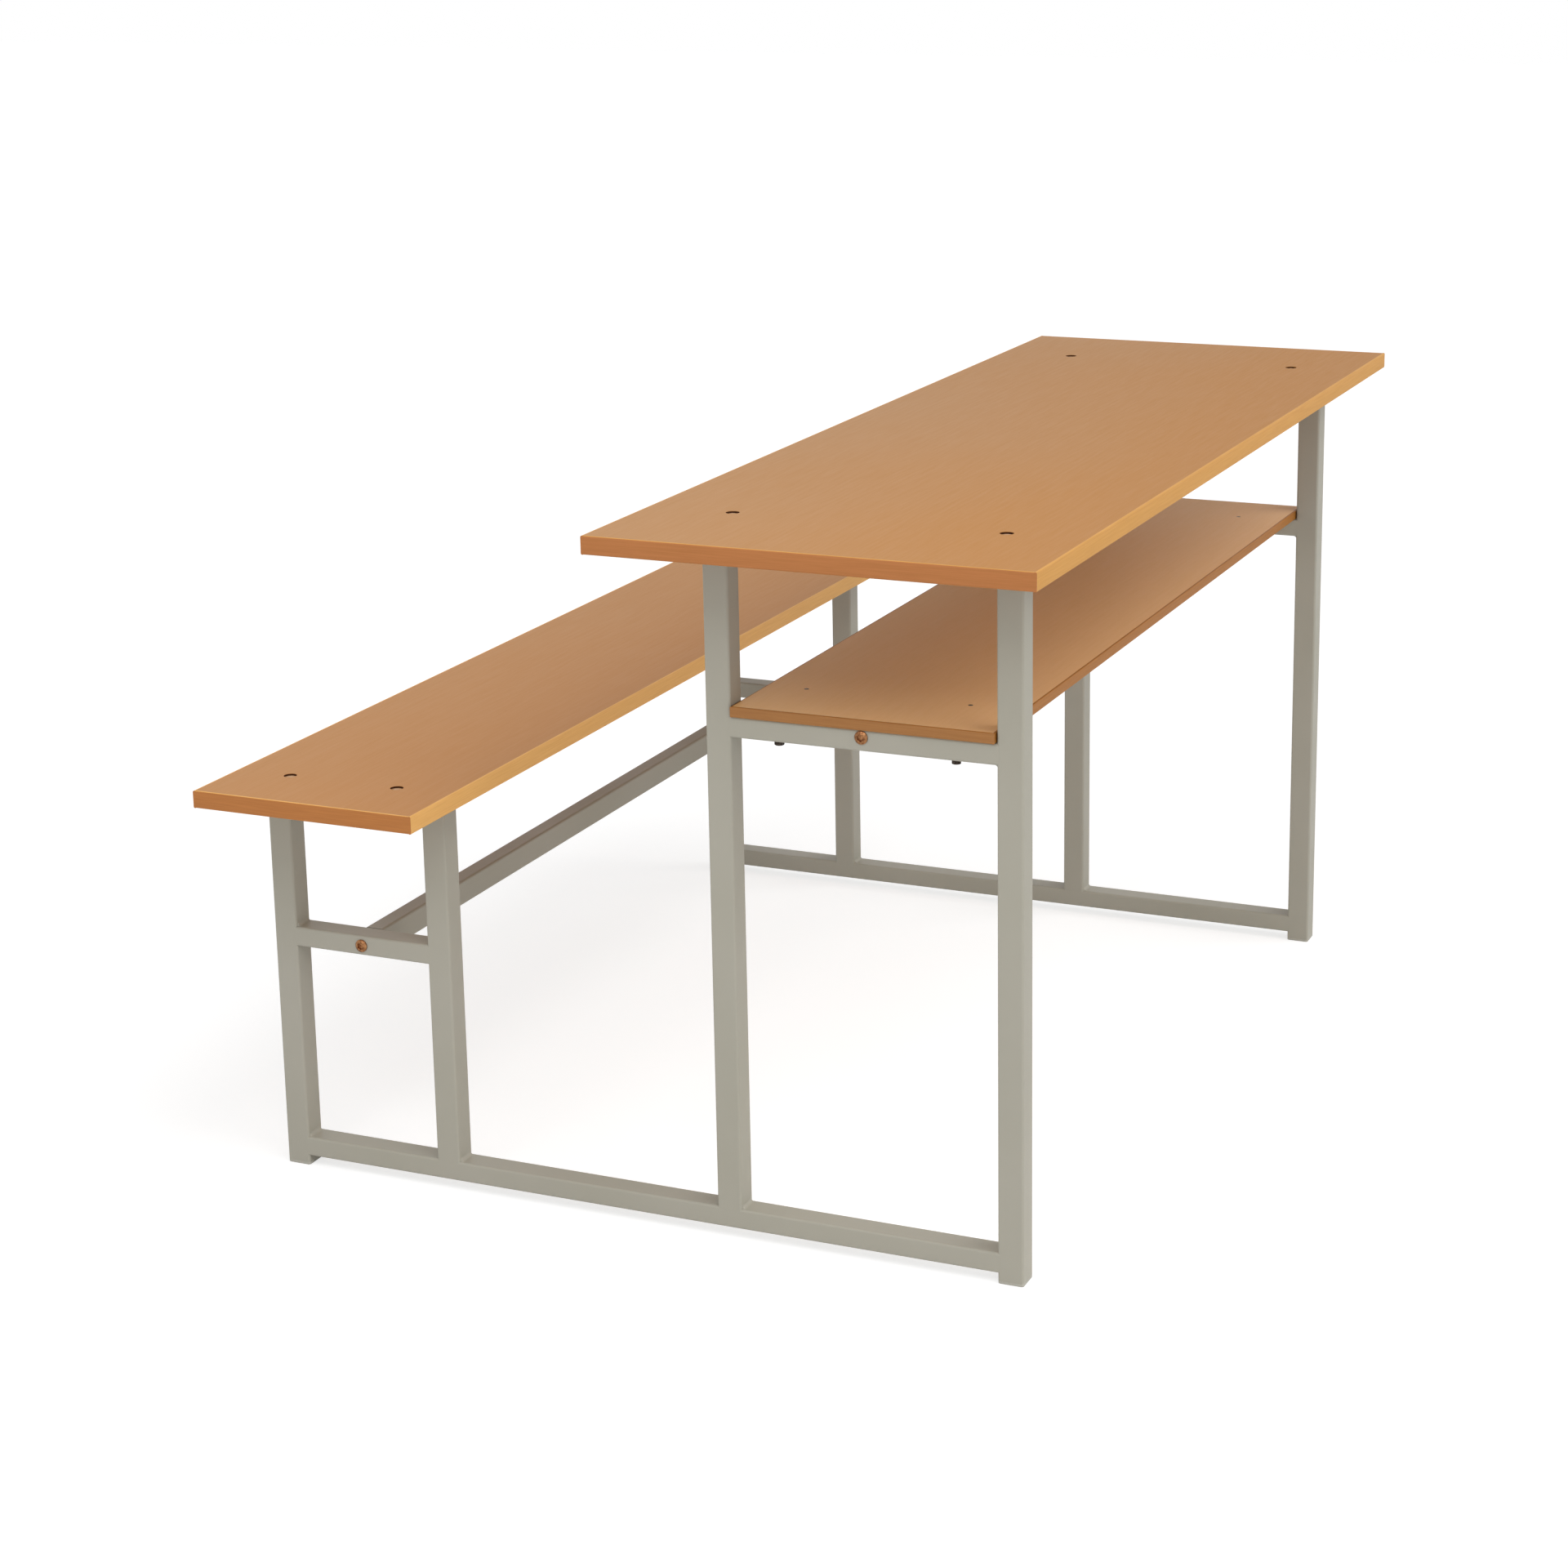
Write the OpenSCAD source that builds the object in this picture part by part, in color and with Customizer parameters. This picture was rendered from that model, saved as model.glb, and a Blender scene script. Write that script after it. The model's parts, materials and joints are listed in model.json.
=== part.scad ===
// School desk for two with its bench, on two welded end frames.
// X runs along the boards, Y from the bench to the desk, and Z up. The origin is on the floor,
// under the middle of the set. The right end is at +X for a pupil who sits on the bench and faces +Y.

/* [Heights] */
// Top of the desk board above the floor
desk_h = 690; // [640:5:760]
// Top of the seat board above the floor
seat_h = 412; // [360:2:460]
// Top of the book shelf above the floor
shelf_h = 521; // [480:1:570]
// Underside of the bench's cross rails above the floor
seat_rail_z = 231; // [120:1:270]
// Clearance between the floor and the bottom rails
rail_clearance = 10; // [6:1:25]

/* [Boards] */
// Length of the desk top and the seat
board_l = 1200; // [1000:10:1400]
// Depth of the desk top
desk_d = 423; // [380:1:480]
// Depth of the seat
seat_d = 237; // [200:1:300]
// Clear distance from the seat's front edge to the desk top's rear edge, in plan
seat_gap = 186; // [140:1:260]
// Thickness of the desk top and the seat
board_t = 17; // [15:1:25]
// Thickness of the book shelf
shelf_t = 10; // [9:1:18]
// Length of shelf that passes the outer face of each end frame
shelf_past = 3; // [0:1:20]
// Gap between the shelf and the desk legs, front and rear
shelf_play = 1; // [0.5:0.1:3]
// Thickness of the edging strips
edging_t = 2; // [0.8:0.2:3]
// Rounding along the outer edges of the edging strips
edging_r = 1.2; // [0.4:0.1:2]

/* [End frames] */
// Side of the square leg tube, which is also the width of the rails
tube_w = 25; // [20:1:32]
// Height of the rail tube
rail_h = 20; // [16:1:28]
// Wall of the tubes
tube_wall = 1.2; // [0.9:0.1:2]
// Outer corner radius of the tubes
tube_r = 2.5; // [2.1:0.1:3.5]
// Overhang of the desk top and the seat past the outer face of each end frame
end_overhang = 93; // [70:1:140]
// Overhang of the seat past the bench legs, front and rear
seat_overhang = 20; // [8:1:35]
// Overhang of the desk top past its rear legs, on the pupil's side
desk_overhang_rear = 72; // [30:1:95]
// Overhang of the desk top past its front legs
desk_overhang_front = 45; // [15:1:70]
// Leg length of the weld beads
weld = 4; // [2:0.5:6]
// Thickness of a weld bead at its two edges
weld_edge = 0.3; // [0.1:0.1:0.5]

/* [Stretchers] */
// Width of the stretcher tube
stretcher_w = 20; // [16:1:28]
// Height of the stretcher tube
stretcher_h = 25; // [20:1:32]
// Thickness of the threaded plug in each end of a stretcher
end_plug_t = 12; // [8:1:20]
// Thread diameter of the stretcher bolts
bolt_d = 8; // [6:1:10]
// Head diameter of the stretcher bolts
bolt_head_d = 12.5; // [11.5:0.5:15.5]
// Head height of the stretcher bolts
bolt_head_h = 3.5; // [3:0.1:5]
// Width of the hexagon socket in a stretcher bolt, across its corners
bolt_socket_d = 6.9; // [4:0.1:7.5]
// Depth of the hexagon socket
bolt_socket_depth = 2.4; // [1:0.1:2.6]
// Length of a stretcher bolt past its threaded plug
bolt_past = 3; // [1:0.5:8]
// Distance of the bolts under the shelf above the middle of their cross rail
desk_bolt_up = 3; // [0:0.5:3.5]

/* [Board screws] */
// Shank diameter of the screws that hold the desk top and the seat
screw_d = 6; // [5:0.5:8]
// Head diameter of those screws
screw_head_d = 11; // [10:0.5:12]
// Head height of those screws
screw_head_h = 3; // [2:0.1:4]
// Length of the arms of the cross recess in their heads, from end to end
recess_l = 6; // [3:0.5:7]
// Width of those arms
recess_w = 1.2; // [0.8:0.1:2]
// Depth of the cross recess
recess_depth = 1.5; // [0.5:0.1:1.8]
// Diameter of the counterbore in the board
counterbore_d = 12.8; // [12.4:0.1:16]
// Depth of the counterbore in the board
counterbore_depth = 7; // [5:0.5:9]
// Width of the nuts under the boards, across their corners
nut_d = 11.5; // [11:0.1:14]
// Height of the nuts
nut_h = 5; // [4:0.5:7]
// Length of a screw past its nut
screw_past = 2; // [0.5:0.5:6]
// Distance of a seat screw outside the outer face of its end frame
seat_screw_out = 17; // [14:1:26]
// Distance of a seat screw from the middle of its bench leg, towards the other leg
seat_screw_in = 27; // [15:1:40]
// Distance of a desk screw inside the inner face of its end frame
desk_screw_out = 16; // [14:1:26]
// Distance of a rear desk screw from the middle of its leg, towards the front leg
desk_screw_rear = 0; // [0:1:40]
// Distance of a front desk screw from the middle of its leg, towards the rear leg
desk_screw_front = 18; // [0:1:40]

// Depth of the middle of a screw's cover cap below the board's face
cap_sink = 1.2; // [0.4:0.1:2]
// Rise of a cover cap's dome above its rim
cap_dome = 0.8; // [0.2:0.1:1]
// Gap round a cover cap, to the counterbore and to the screw's head
cap_play = 0.15; // [0.1:0.05:0.3]

/* [Cleats] */
// Width of the angle cleats along the end frame
cleat_w = 30; // [24:1:50]
// Height of the flange that is welded to the end frame
cleat_h = 18; // [14:1:24]
// Thickness of the cleats
cleat_t = 3; // [2:0.5:5]
// Material of a cleat past the middle of its screw hole
cleat_margin = 12; // [8:1:20]

/* [Shelf screws] */
// Shank diameter of the screws that hold the shelf from below, through the cross rails
shelf_screw_d = 4; // [3:0.5:5]
// Width of the hexagon heads of those screws, across their corners
shelf_screw_head_d = 9.2; // [8:0.2:10]
// Height of those heads, flanges included
shelf_screw_head_h = 5.6; // [4:0.2:6.4]
// Diameter of the flange at the root of those heads
shelf_screw_flange_d = 11; // [10.4:0.2:13]
// Thickness of that flange
shelf_screw_flange_t = 1.2; // [0.8:0.2:1.6]
// Length of a shelf screw inside the shelf board
shelf_screw_bite = 7; // [4:0.5:7.5]
// Distance of a shelf screw from the middle of its desk leg
shelf_screw_in = 55; // [25:1:90]
// Shank diameter of the countersunk screws that hold the shelf from above, on its cleats
top_screw_d = 2.5; // [2:0.5:4]
// Head diameter of the countersunk screws
top_screw_head_d = 4.6; // [4.5:0.1:6]
// Length of the countersunk screws
top_screw_l = 16; // [14:1:20]
// Distance of a countersunk screw inside the inner face of its end frame
top_screw_out = 52; // [20:1:70]
// Distance of the rear countersunk screws from the middle of their leg
top_screw_rear = 54; // [25:1:90]
// Distance of the front countersunk screws from the middle of their leg
top_screw_front = 66; // [25:1:90]

/* [Feet] */
// Thickness of the plug's flange between the leg and the floor
foot_t = 3; // [2:0.5:5]
// Depth of the plug inside the leg
foot_depth = 18; // [10:1:30]
// Wall of the plug inside the leg
foot_wall = 2.4; // [1.5:0.1:4]
// Clearance round the plug inside the leg
foot_play = 0.1; // [0.05:0.05:0.3]

/* [Hidden] */
$fn = 48;
right = 1;
left = -1;
front = 1;
rear = -1;
up = 1;
down = -1;

// Play on the radius of a smooth shank in its clearance hole, and of a thread in its nut
hole_play = 0.3;
thread_play = 0.05;

// Ends of the set and of its boards, from rear to front
set_d = seat_d + seat_gap + desk_d;
seat_rear_y = -set_d / 2;
seat_front_y = seat_rear_y + seat_d;
desk_rear_y = seat_front_y + seat_gap;
desk_front_y = set_d / 2;

// Middles of the four uprights of an end frame
bench_rear_leg_y = seat_rear_y + seat_overhang + tube_w / 2;
bench_front_leg_y = seat_front_y - seat_overhang - tube_w / 2;
desk_rear_leg_y = desk_rear_y + desk_overhang_rear + tube_w / 2;
desk_front_leg_y = desk_front_y - desk_overhang_front - tube_w / 2;
bench_mid_y = (bench_rear_leg_y + bench_front_leg_y) / 2;
desk_mid_y = (desk_rear_leg_y + desk_front_leg_y) / 2;

// Faces and middle of an end frame along X
frame_out_x = board_l / 2 - end_overhang;
frame_in_x = frame_out_x - tube_w;
frame_x = frame_out_x - tube_w / 2;

// Undersides of the boards, which are the tops of the legs and the top rails
seat_under_z = seat_h - board_t;
desk_under_z = desk_h - board_t;
shelf_under_z = shelf_h - shelf_t;
desk_rail_z = shelf_under_z - rail_h;
bottom_rail_top_z = rail_clearance + rail_h;

// Heights of the stretcher bolts. A head stays this far under the top of its rail.
head_margin = 0.25;
seat_bolt_z = seat_rail_z + rail_h / 2;
desk_bolt_z = desk_rail_z + rail_h / 2
    + min(desk_bolt_up, (rail_h - bolt_head_d) / 2 - head_margin);

// Ends of the book shelf
shelf_l = 2 * (frame_out_x + shelf_past);
shelf_rear_y = desk_rear_leg_y + tube_w / 2 + shelf_play;
shelf_front_y = desk_front_leg_y - tube_w / 2 - shelf_play;

edge_r = min(edging_r, edging_t);

// Length of a weld bead, which is the flat width of a tube, and the part of a tube's round corner
// where a weld that fills it would be thinner than paint
weld_l = tube_w - 2 * tube_r;
feather = 0.5;

// Share of a bolt's or screw's head that is dome, above a plain rim
dome_share = 2 / 3;

seat_screw_x = frame_out_x + seat_screw_out;
desk_screw_x = frame_in_x - desk_screw_out;
seat_screw_ys = [bench_rear_leg_y + seat_screw_in, bench_front_leg_y - seat_screw_in];
desk_screw_ys = [desk_rear_leg_y + desk_screw_rear, desk_front_leg_y - desk_screw_front];
shelf_screw_ys = [desk_rear_leg_y + shelf_screw_in, desk_front_leg_y - shelf_screw_in];
top_screw_x = frame_in_x - top_screw_out;
top_screw_ys = [desk_rear_leg_y + top_screw_rear, desk_front_leg_y - top_screw_front];
top_screw_head_h = (top_screw_head_d - top_screw_d) / 2;

paint = [0.64, 0.62, 0.58];
face = [0.77, 0.59, 0.42];
band = [0.71, 0.47, 0.27];
shelf_face = [0.68, 0.50, 0.38];
zinc = [0.62, 0.62, 0.60];
yellow_zinc = [0.76, 0.46, 0.25];
plug_grey = [0.45, 0.44, 0.41];
dark_steel = [0.25, 0.24, 0.23];

// Rectangle with round corners, middle at the origin
module rounded_rect(w, h, r) {
    square([w - 2 * r, h], center = true);
    square([w, h - 2 * r], center = true);
    for (x = [-1, 1], y = [-1, 1])
        translate([x * (w / 2 - r), y * (h / 2 - r)])
            circle(r);
}

// Section of a steel tube
module tube_section(w, h) {
    difference() {
        rounded_rect(w, h, tube_r);
        rounded_rect(w - 2 * tube_wall, h - 2 * tube_wall, tube_r - tube_wall);
    }
}

// What is drawn for the right end, moved to the end that is asked for
module at_end(side) {
    mirror([side == left ? 1 : 0, 0, 0])
        children();
}

// Both ends at once, for the pieces that are counted as one set
module at_both_ends() {
    for (side = [right, left])
        at_end(side)
            children();
}

// Upright tube of an end frame
module leg(y, z_low, z_high) {
    translate([frame_x, y, z_low])
        linear_extrude(z_high - z_low)
            tube_section(tube_w, tube_w);
}

// Level tube of an end frame, between the faces of two uprights
module rail(y_low, y_high, z_under) {
    translate([frame_x, y_low + tube_w / 2, z_under + rail_h / 2])
        rotate([-90, 0, 0])
            linear_extrude(y_high - y_low - tube_w)
                tube_section(tube_w, rail_h);
}

// Level hole along X, through what lies between x_low and x_high
module hole_x(x_low, x_high, y, z, d) {
    translate([x_low, y, z])
        rotate([0, 90, 0])
            cylinder(d = d, h = x_high - x_low);
}

// Upright hole or shank
module upright(x, y, z_low, z_high, d) {
    translate([x, y, z_low])
        cylinder(d = d, h = z_high - z_low);
}

// One edging strip along X, inner face on y = 0 and outer face towards -Y
module edging_strip(l, t) {
    rotate([90, 0, 90])
        linear_extrude(l, center = true)
            intersection() {
                translate([-edging_t, 0])
                    square([edging_t, t]);
                translate([0, t / 2])
                    rounded_rect(2 * edging_t, t, edge_r);
            }
}

// Four strips round a board of length l, from y_low to y_high. The long ones cover the short ones' ends.
module edging(l, y_low, y_high, z_under, t) {
    mid_y = (y_low + y_high) / 2;
    half_d = (y_high - y_low) / 2 - edging_t;
    translate([0, mid_y, z_under]) {
        for (turn = [0, 180])
            rotate([0, 0, turn])
                translate([0, -half_d, 0])
                    edging_strip(l, t);
        for (turn = [90, 270])
            rotate([0, 0, turn])
                translate([0, -l / 2 + edging_t, 0])
                    edging_strip(2 * half_d, t);
    }
}

// Board without its edging
module board(l, y_low, y_high, z_under, t) {
    translate([-l / 2 + edging_t, y_low + edging_t, z_under])
        cube([l - 2 * edging_t, y_high - y_low - 2 * edging_t, t]);
}

// Board with counterbored screw holes at both ends
module screwed_board(y_low, y_high, top_z, screw_x, screw_ys) {
    difference() {
        board(board_l, y_low, y_high, top_z - board_t, board_t);
        at_both_ends()
            for (y = screw_ys) {
                upright(screw_x, y, top_z - board_t - 1, top_z, screw_d + 2 * hole_play);
                upright(screw_x, y, top_z - counterbore_depth, top_z + 1, counterbore_d);
            }
    }
}

module desk_top() {
    color(face)
        screwed_board(desk_rear_y, desk_front_y, desk_h, desk_screw_x, desk_screw_ys);
}

module desk_top_edging() {
    color(band)
        edging(board_l, desk_rear_y, desk_front_y, desk_under_z, board_t);
}

module seat() {
    color(face)
        screwed_board(seat_rear_y, seat_front_y, seat_h, seat_screw_x, seat_screw_ys);
}

module seat_edging() {
    color(band)
        edging(board_l, seat_rear_y, seat_front_y, seat_under_z, board_t);
}

module book_shelf() {
    color(shelf_face)
        difference() {
            board(shelf_l, shelf_rear_y, shelf_front_y, shelf_under_z, shelf_t);
            at_both_ends() {
                for (y = shelf_screw_ys)
                    upright(frame_x, y, shelf_under_z - 1, shelf_under_z + shelf_screw_bite,
                        shelf_screw_d + 2 * thread_play);
                for (y = top_screw_ys)
                    translate([top_screw_x, y, shelf_h])
                        countersunk_screw(thread_play);
            }
        }
}

module book_shelf_edging() {
    color(band)
        edging(shelf_l, shelf_rear_y, shelf_front_y, shelf_under_z, shelf_t);
}

module bottom_rail(side) {
    color(paint)
        at_end(side)
            rail(bench_rear_leg_y, desk_front_leg_y, rail_clearance);
}

// The outer uprights run down to the feet, and the inner ones stand on the bottom rail
module bench_rear_leg(side) {
    color(paint)
        at_end(side)
            leg(bench_rear_leg_y, foot_t, seat_under_z);
}

module bench_front_leg(side) {
    color(paint)
        at_end(side)
            leg(bench_front_leg_y, bottom_rail_top_z, seat_under_z);
}

module desk_rear_leg(side) {
    color(paint)
        at_end(side)
            leg(desk_rear_leg_y, bottom_rail_top_z, desk_under_z);
}

module desk_front_leg(side) {
    color(paint)
        at_end(side)
            leg(desk_front_leg_y, foot_t, desk_under_z);
}

// Hole for a stretcher bolt through both walls of a cross rail
module bolt_hole(y, z) {
    hole_x(frame_in_x - 1, frame_out_x + 1, y, z, bolt_d + 2 * hole_play);
}

module bench_cross_rail(side) {
    color(paint)
        at_end(side)
            difference() {
                rail(bench_rear_leg_y, bench_front_leg_y, seat_rail_z);
                bolt_hole(bench_mid_y, seat_bolt_z);
            }
}

module desk_cross_rail(side) {
    color(paint)
        at_end(side)
            difference() {
                rail(desk_rear_leg_y, desk_front_leg_y, desk_rail_z);
                bolt_hole(desk_mid_y, desk_bolt_z);
                for (y = shelf_screw_ys)
                    upright(frame_x, y, desk_rail_z - 1, desk_rail_z + rail_h + 1,
                        shelf_screw_d + 2 * hole_play);
            }
}

module bench_top_rail(side) {
    color(paint)
        at_end(side)
            rail(bench_rear_leg_y, bench_front_leg_y, seat_under_z - rail_h);
}

module desk_top_rail(side) {
    color(paint)
        at_end(side)
            rail(desk_rear_leg_y, desk_front_leg_y, desk_under_z - rail_h);
}

// Angle cleats under a board, welded to the face at x_face. The one at the screw's x points away from it.
module cleats(x_face, screw_x, ys, z_under, hole_d) {
    reach = abs(screw_x - x_face) + cleat_margin;
    for (y = ys)
        translate([x_face, y, z_under])
            mirror([screw_x < x_face ? 1 : 0, 0, 0])
                difference() {
                    union() {
                        translate([0, -cleat_w / 2, -cleat_t])
                            cube([reach, cleat_w, cleat_t]);
                        translate([0, -cleat_w / 2, -cleat_h])
                            cube([cleat_t, cleat_w, cleat_h]);
                    }
                    upright(reach - cleat_margin, 0, -cleat_t - 1, 1, hole_d);
                }
}

module seat_cleats(side) {
    color(paint)
        at_end(side)
            cleats(frame_out_x, seat_screw_x, seat_screw_ys, seat_under_z, screw_d + 2 * hole_play);
}

module desk_cleats(side) {
    color(paint)
        at_end(side)
            cleats(frame_in_x, desk_screw_x, desk_screw_ys, desk_under_z, screw_d + 2 * hole_play);
}

module shelf_cleats(side) {
    color(paint)
        at_end(side)
            cleats(frame_in_x, top_screw_x, top_screw_ys, shelf_under_z, top_screw_d + 2 * thread_play);
}

// Hollow bead in the corner at y and z, towards the front or the rear, and up or down
module bead(y, z, dy, dz) {
    translate([frame_x, y, z])
        rotate([90, 0, 90])
            linear_extrude(weld_l, center = true)
                mirror([dy == rear ? 1 : 0, 0])
                    mirror([0, dz == down ? 1 : 0])
                        difference() {
                            square(weld);
                            translate([weld + weld_edge, weld + weld_edge])
                                circle(weld);
                        }
}

module weld_beads(side) {
    half = tube_w / 2;
    color(paint)
        at_end(side) {
            // Uprights on the bottom rail, and the rail's rear end on its upright
            for (y = [bench_rear_leg_y, bench_front_leg_y, desk_rear_leg_y])
                bead(y + half, bottom_rail_top_z, front, up);
            // Cross rails between the uprights
            bead(bench_rear_leg_y + half, seat_rail_z + rail_h, front, up);
            bead(desk_front_leg_y - half, desk_rail_z, rear, down);
            // Top rails between the uprights
            for (pair = [[bench_rear_leg_y, bench_front_leg_y, seat_under_z],
                         [desk_rear_leg_y, desk_front_leg_y, desk_under_z]]) {
                bead(pair[0] + half, pair[2] - rail_h, front, down);
                bead(pair[1] - half, pair[2] - rail_h, rear, down);
            }
        }
}

// What is cut from a ground weld: its middle, between the tubes' flat faces, and its thinnest part
module weld_root(y, z) {
    translate([frame_x, y, z])
        cube([weld_l + 2 * feather, 2 * tube_w, 2 * tube_w], center = true);
}

// Ground weld that fills the leg's round corners at the front or rear end of a rail
module rail_end_weld(leg_y, end, z_under) {
    z_mid = z_under + rail_h / 2;
    difference() {
        translate([frame_x, leg_y - end * tube_w / 2, z_mid])
            rotate([-90 * end, 0, 0])
                linear_extrude(tube_r - feather)
                    rounded_rect(tube_w, rail_h, tube_r);
        translate([frame_x, leg_y, z_mid])
            linear_extrude(2 * rail_h, center = true)
                rounded_rect(tube_w, tube_w, tube_r);
        weld_root(leg_y, z_mid);
    }
}

// Ground weld that fills the bottom rail's round corners under a leg
module leg_end_weld(leg_y) {
    difference() {
        translate([frame_x, leg_y, bottom_rail_top_z - tube_r + feather])
            linear_extrude(tube_r - feather)
                rounded_rect(tube_w, tube_w, tube_r);
        translate([frame_x, leg_y, rail_clearance + rail_h / 2])
            rotate([90, 0, 0])
                linear_extrude(2 * tube_w, center = true)
                    rounded_rect(tube_w, rail_h, tube_r);
        weld_root(leg_y, bottom_rail_top_z);
    }
}

module ground_welds(side) {
    color(paint)
        at_end(side) {
            rail_end_weld(bench_rear_leg_y, rear, rail_clearance);
            rail_end_weld(desk_front_leg_y, front, rail_clearance);
            for (z = [seat_rail_z, seat_under_z - rail_h]) {
                rail_end_weld(bench_rear_leg_y, rear, z);
                rail_end_weld(bench_front_leg_y, front, z);
            }
            for (z = [desk_rail_z, desk_under_z - rail_h]) {
                rail_end_weld(desk_rear_leg_y, rear, z);
                rail_end_weld(desk_front_leg_y, front, z);
            }
            leg_end_weld(bench_front_leg_y);
            leg_end_weld(desk_rear_leg_y);
        }
}

// Plastic plug that closes the foot of an outer upright: flange on the floor, ribbed cup in the tube
module foot(side, y) {
    plug_w = tube_w - 2 * (tube_wall + foot_play);
    plug_r = max(tube_r - tube_wall - foot_play, 0.1);
    cup_w = plug_w - 2 * foot_wall;
    color(plug_grey)
        at_end(side)
            translate([frame_x, y, 0]) {
                linear_extrude(foot_t)
                    rounded_rect(tube_w, tube_w, tube_r);
                translate([0, 0, foot_t])
                    linear_extrude(foot_depth) {
                        difference() {
                            rounded_rect(plug_w, plug_w, plug_r);
                            square(cup_w, center = true);
                        }
                        square([cup_w, foot_wall], center = true);
                        square([foot_wall, cup_w], center = true);
                    }
            }
}

// Tube between the inner faces of the two end frames, its top level with the cross rails' tops
module stretcher(y, z_top) {
    translate([-frame_in_x, y, z_top - stretcher_h / 2])
        rotate([0, 90, 0])
            linear_extrude(2 * frame_in_x)
                tube_section(stretcher_h, stretcher_w);
}

// Threaded plugs, welded flush into the ends of a stretcher
module stretcher_plugs(y, z_top, bolt_z) {
    at_both_ends()
        difference() {
            translate([frame_in_x - end_plug_t, y, z_top - stretcher_h / 2])
                rotate([0, 90, 0])
                    linear_extrude(end_plug_t)
                        rounded_rect(stretcher_h - 2 * tube_wall, stretcher_w - 2 * tube_wall,
                            tube_r - tube_wall);
            hole_x(frame_in_x - end_plug_t - 1, frame_in_x + 1, y, bolt_z,
                bolt_d + 2 * thread_play);
        }
}

// Round body on the flat z = 0, of diameter d and height h, whose top is a dome that rises by rise
module domed(d, h, rise) {
    round_r = (d * d / 4 + rise * rise) / (2 * rise);
    intersection() {
        cylinder(d = d, h = h);
        translate([0, 0, h - round_r])
            sphere(round_r, $fn = 96);
    }
}

// Head of a stretcher bolt or board screw
module domed_head(d, h) {
    domed(d, h, dome_share * h);
}

// Bolts through the cross rails into the stretcher's plugs, heads on the outer faces
module stretcher_bolts(y, bolt_z) {
    shank_l = tube_w + end_plug_t + bolt_past;
    at_both_ends()
        translate([frame_out_x, y, bolt_z])
            rotate([0, 90, 0])
                difference() {
                    union() {
                        domed_head(bolt_head_d, bolt_head_h);
                        translate([0, 0, -shank_l])
                            cylinder(d = bolt_d, h = shank_l);
                    }
                    translate([0, 0, bolt_head_h - bolt_socket_depth])
                        cylinder(d = bolt_socket_d, h = bolt_socket_depth + 1, $fn = 6);
                }
}

module seat_stretcher() {
    color(paint)
        stretcher(bench_mid_y, seat_rail_z + rail_h);
}

module seat_stretcher_plugs() {
    color(dark_steel)
        stretcher_plugs(bench_mid_y, seat_rail_z + rail_h, seat_bolt_z);
}

module seat_stretcher_bolts() {
    color(yellow_zinc)
        stretcher_bolts(bench_mid_y, seat_bolt_z);
}

module shelf_stretcher() {
    color(paint)
        stretcher(desk_mid_y, shelf_under_z);
}

module shelf_stretcher_plugs() {
    color(dark_steel)
        stretcher_plugs(desk_mid_y, shelf_under_z, desk_bolt_z);
}

module shelf_stretcher_bolts() {
    color(yellow_zinc)
        stretcher_bolts(desk_mid_y, desk_bolt_z);
}

// Screws down through a board and its cleats, heads at the bottom of the counterbores
module board_screws(x, ys, top_z) {
    seat_z = top_z - counterbore_depth;
    tip_z = top_z - board_t - cleat_t - nut_h - screw_past;
    at_both_ends()
        for (y = ys)
            difference() {
                union() {
                    translate([x, y, seat_z])
                        domed_head(screw_head_d, screw_head_h);
                    upright(x, y, tip_z, seat_z, screw_d);
                }
                // Cross recess
                for (turn = [0, 90])
                    translate([x, y, seat_z + screw_head_h])
                        rotate([0, 0, turn])
                            cube([recess_l, recess_w, 2 * recess_depth], center = true);
            }
}

module board_screw_nuts(x, ys, under_z) {
    at_both_ends()
        for (y = ys)
            difference() {
                translate([x, y, under_z - cleat_t - nut_h])
                    cylinder(d = nut_d, h = nut_h, $fn = 6);
                upright(x, y, under_z - cleat_t - nut_h - 1, under_z - cleat_t + 1,
                    screw_d + 2 * thread_play);
            }
}

// Plastic caps over the screw heads, on the bottom of the counterbores
module board_screw_caps(x, ys, top_z) {
    cap_d = counterbore_d - 2 * cap_play;
    at_both_ends()
        for (y = ys)
            translate([x, y, top_z - counterbore_depth])
                difference() {
                    domed(cap_d, counterbore_depth - cap_sink, cap_dome);
                    translate([0, 0, -1])
                        cylinder(d = screw_head_d + 2 * cap_play, h = screw_head_h + cap_play + 1);
                }
}

module seat_screws() {
    color(zinc)
        board_screws(seat_screw_x, seat_screw_ys, seat_h);
}

module seat_screw_nuts() {
    color(zinc)
        board_screw_nuts(seat_screw_x, seat_screw_ys, seat_under_z);
}

module seat_screw_caps() {
    color(face)
        board_screw_caps(seat_screw_x, seat_screw_ys, seat_h);
}

module desk_top_screws() {
    color(zinc)
        board_screws(desk_screw_x, desk_screw_ys, desk_h);
}

module desk_top_screw_nuts() {
    color(zinc)
        board_screw_nuts(desk_screw_x, desk_screw_ys, desk_under_z);
}

module desk_top_screw_caps() {
    color(face)
        board_screw_caps(desk_screw_x, desk_screw_ys, desk_h);
}

// Screws up through the desk's cross rails into the shelf, flanged hexagon heads under the rails
module shelf_screws() {
    color(dark_steel)
        at_both_ends()
            for (y = shelf_screw_ys) {
                translate([frame_x, y, desk_rail_z - shelf_screw_head_h])
                    cylinder(d = shelf_screw_head_d, h = shelf_screw_head_h, $fn = 6);
                upright(frame_x, y, desk_rail_z - shelf_screw_flange_t, desk_rail_z,
                    shelf_screw_flange_d);
                upright(frame_x, y, desk_rail_z, shelf_under_z + shelf_screw_bite, shelf_screw_d);
            }
}

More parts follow.
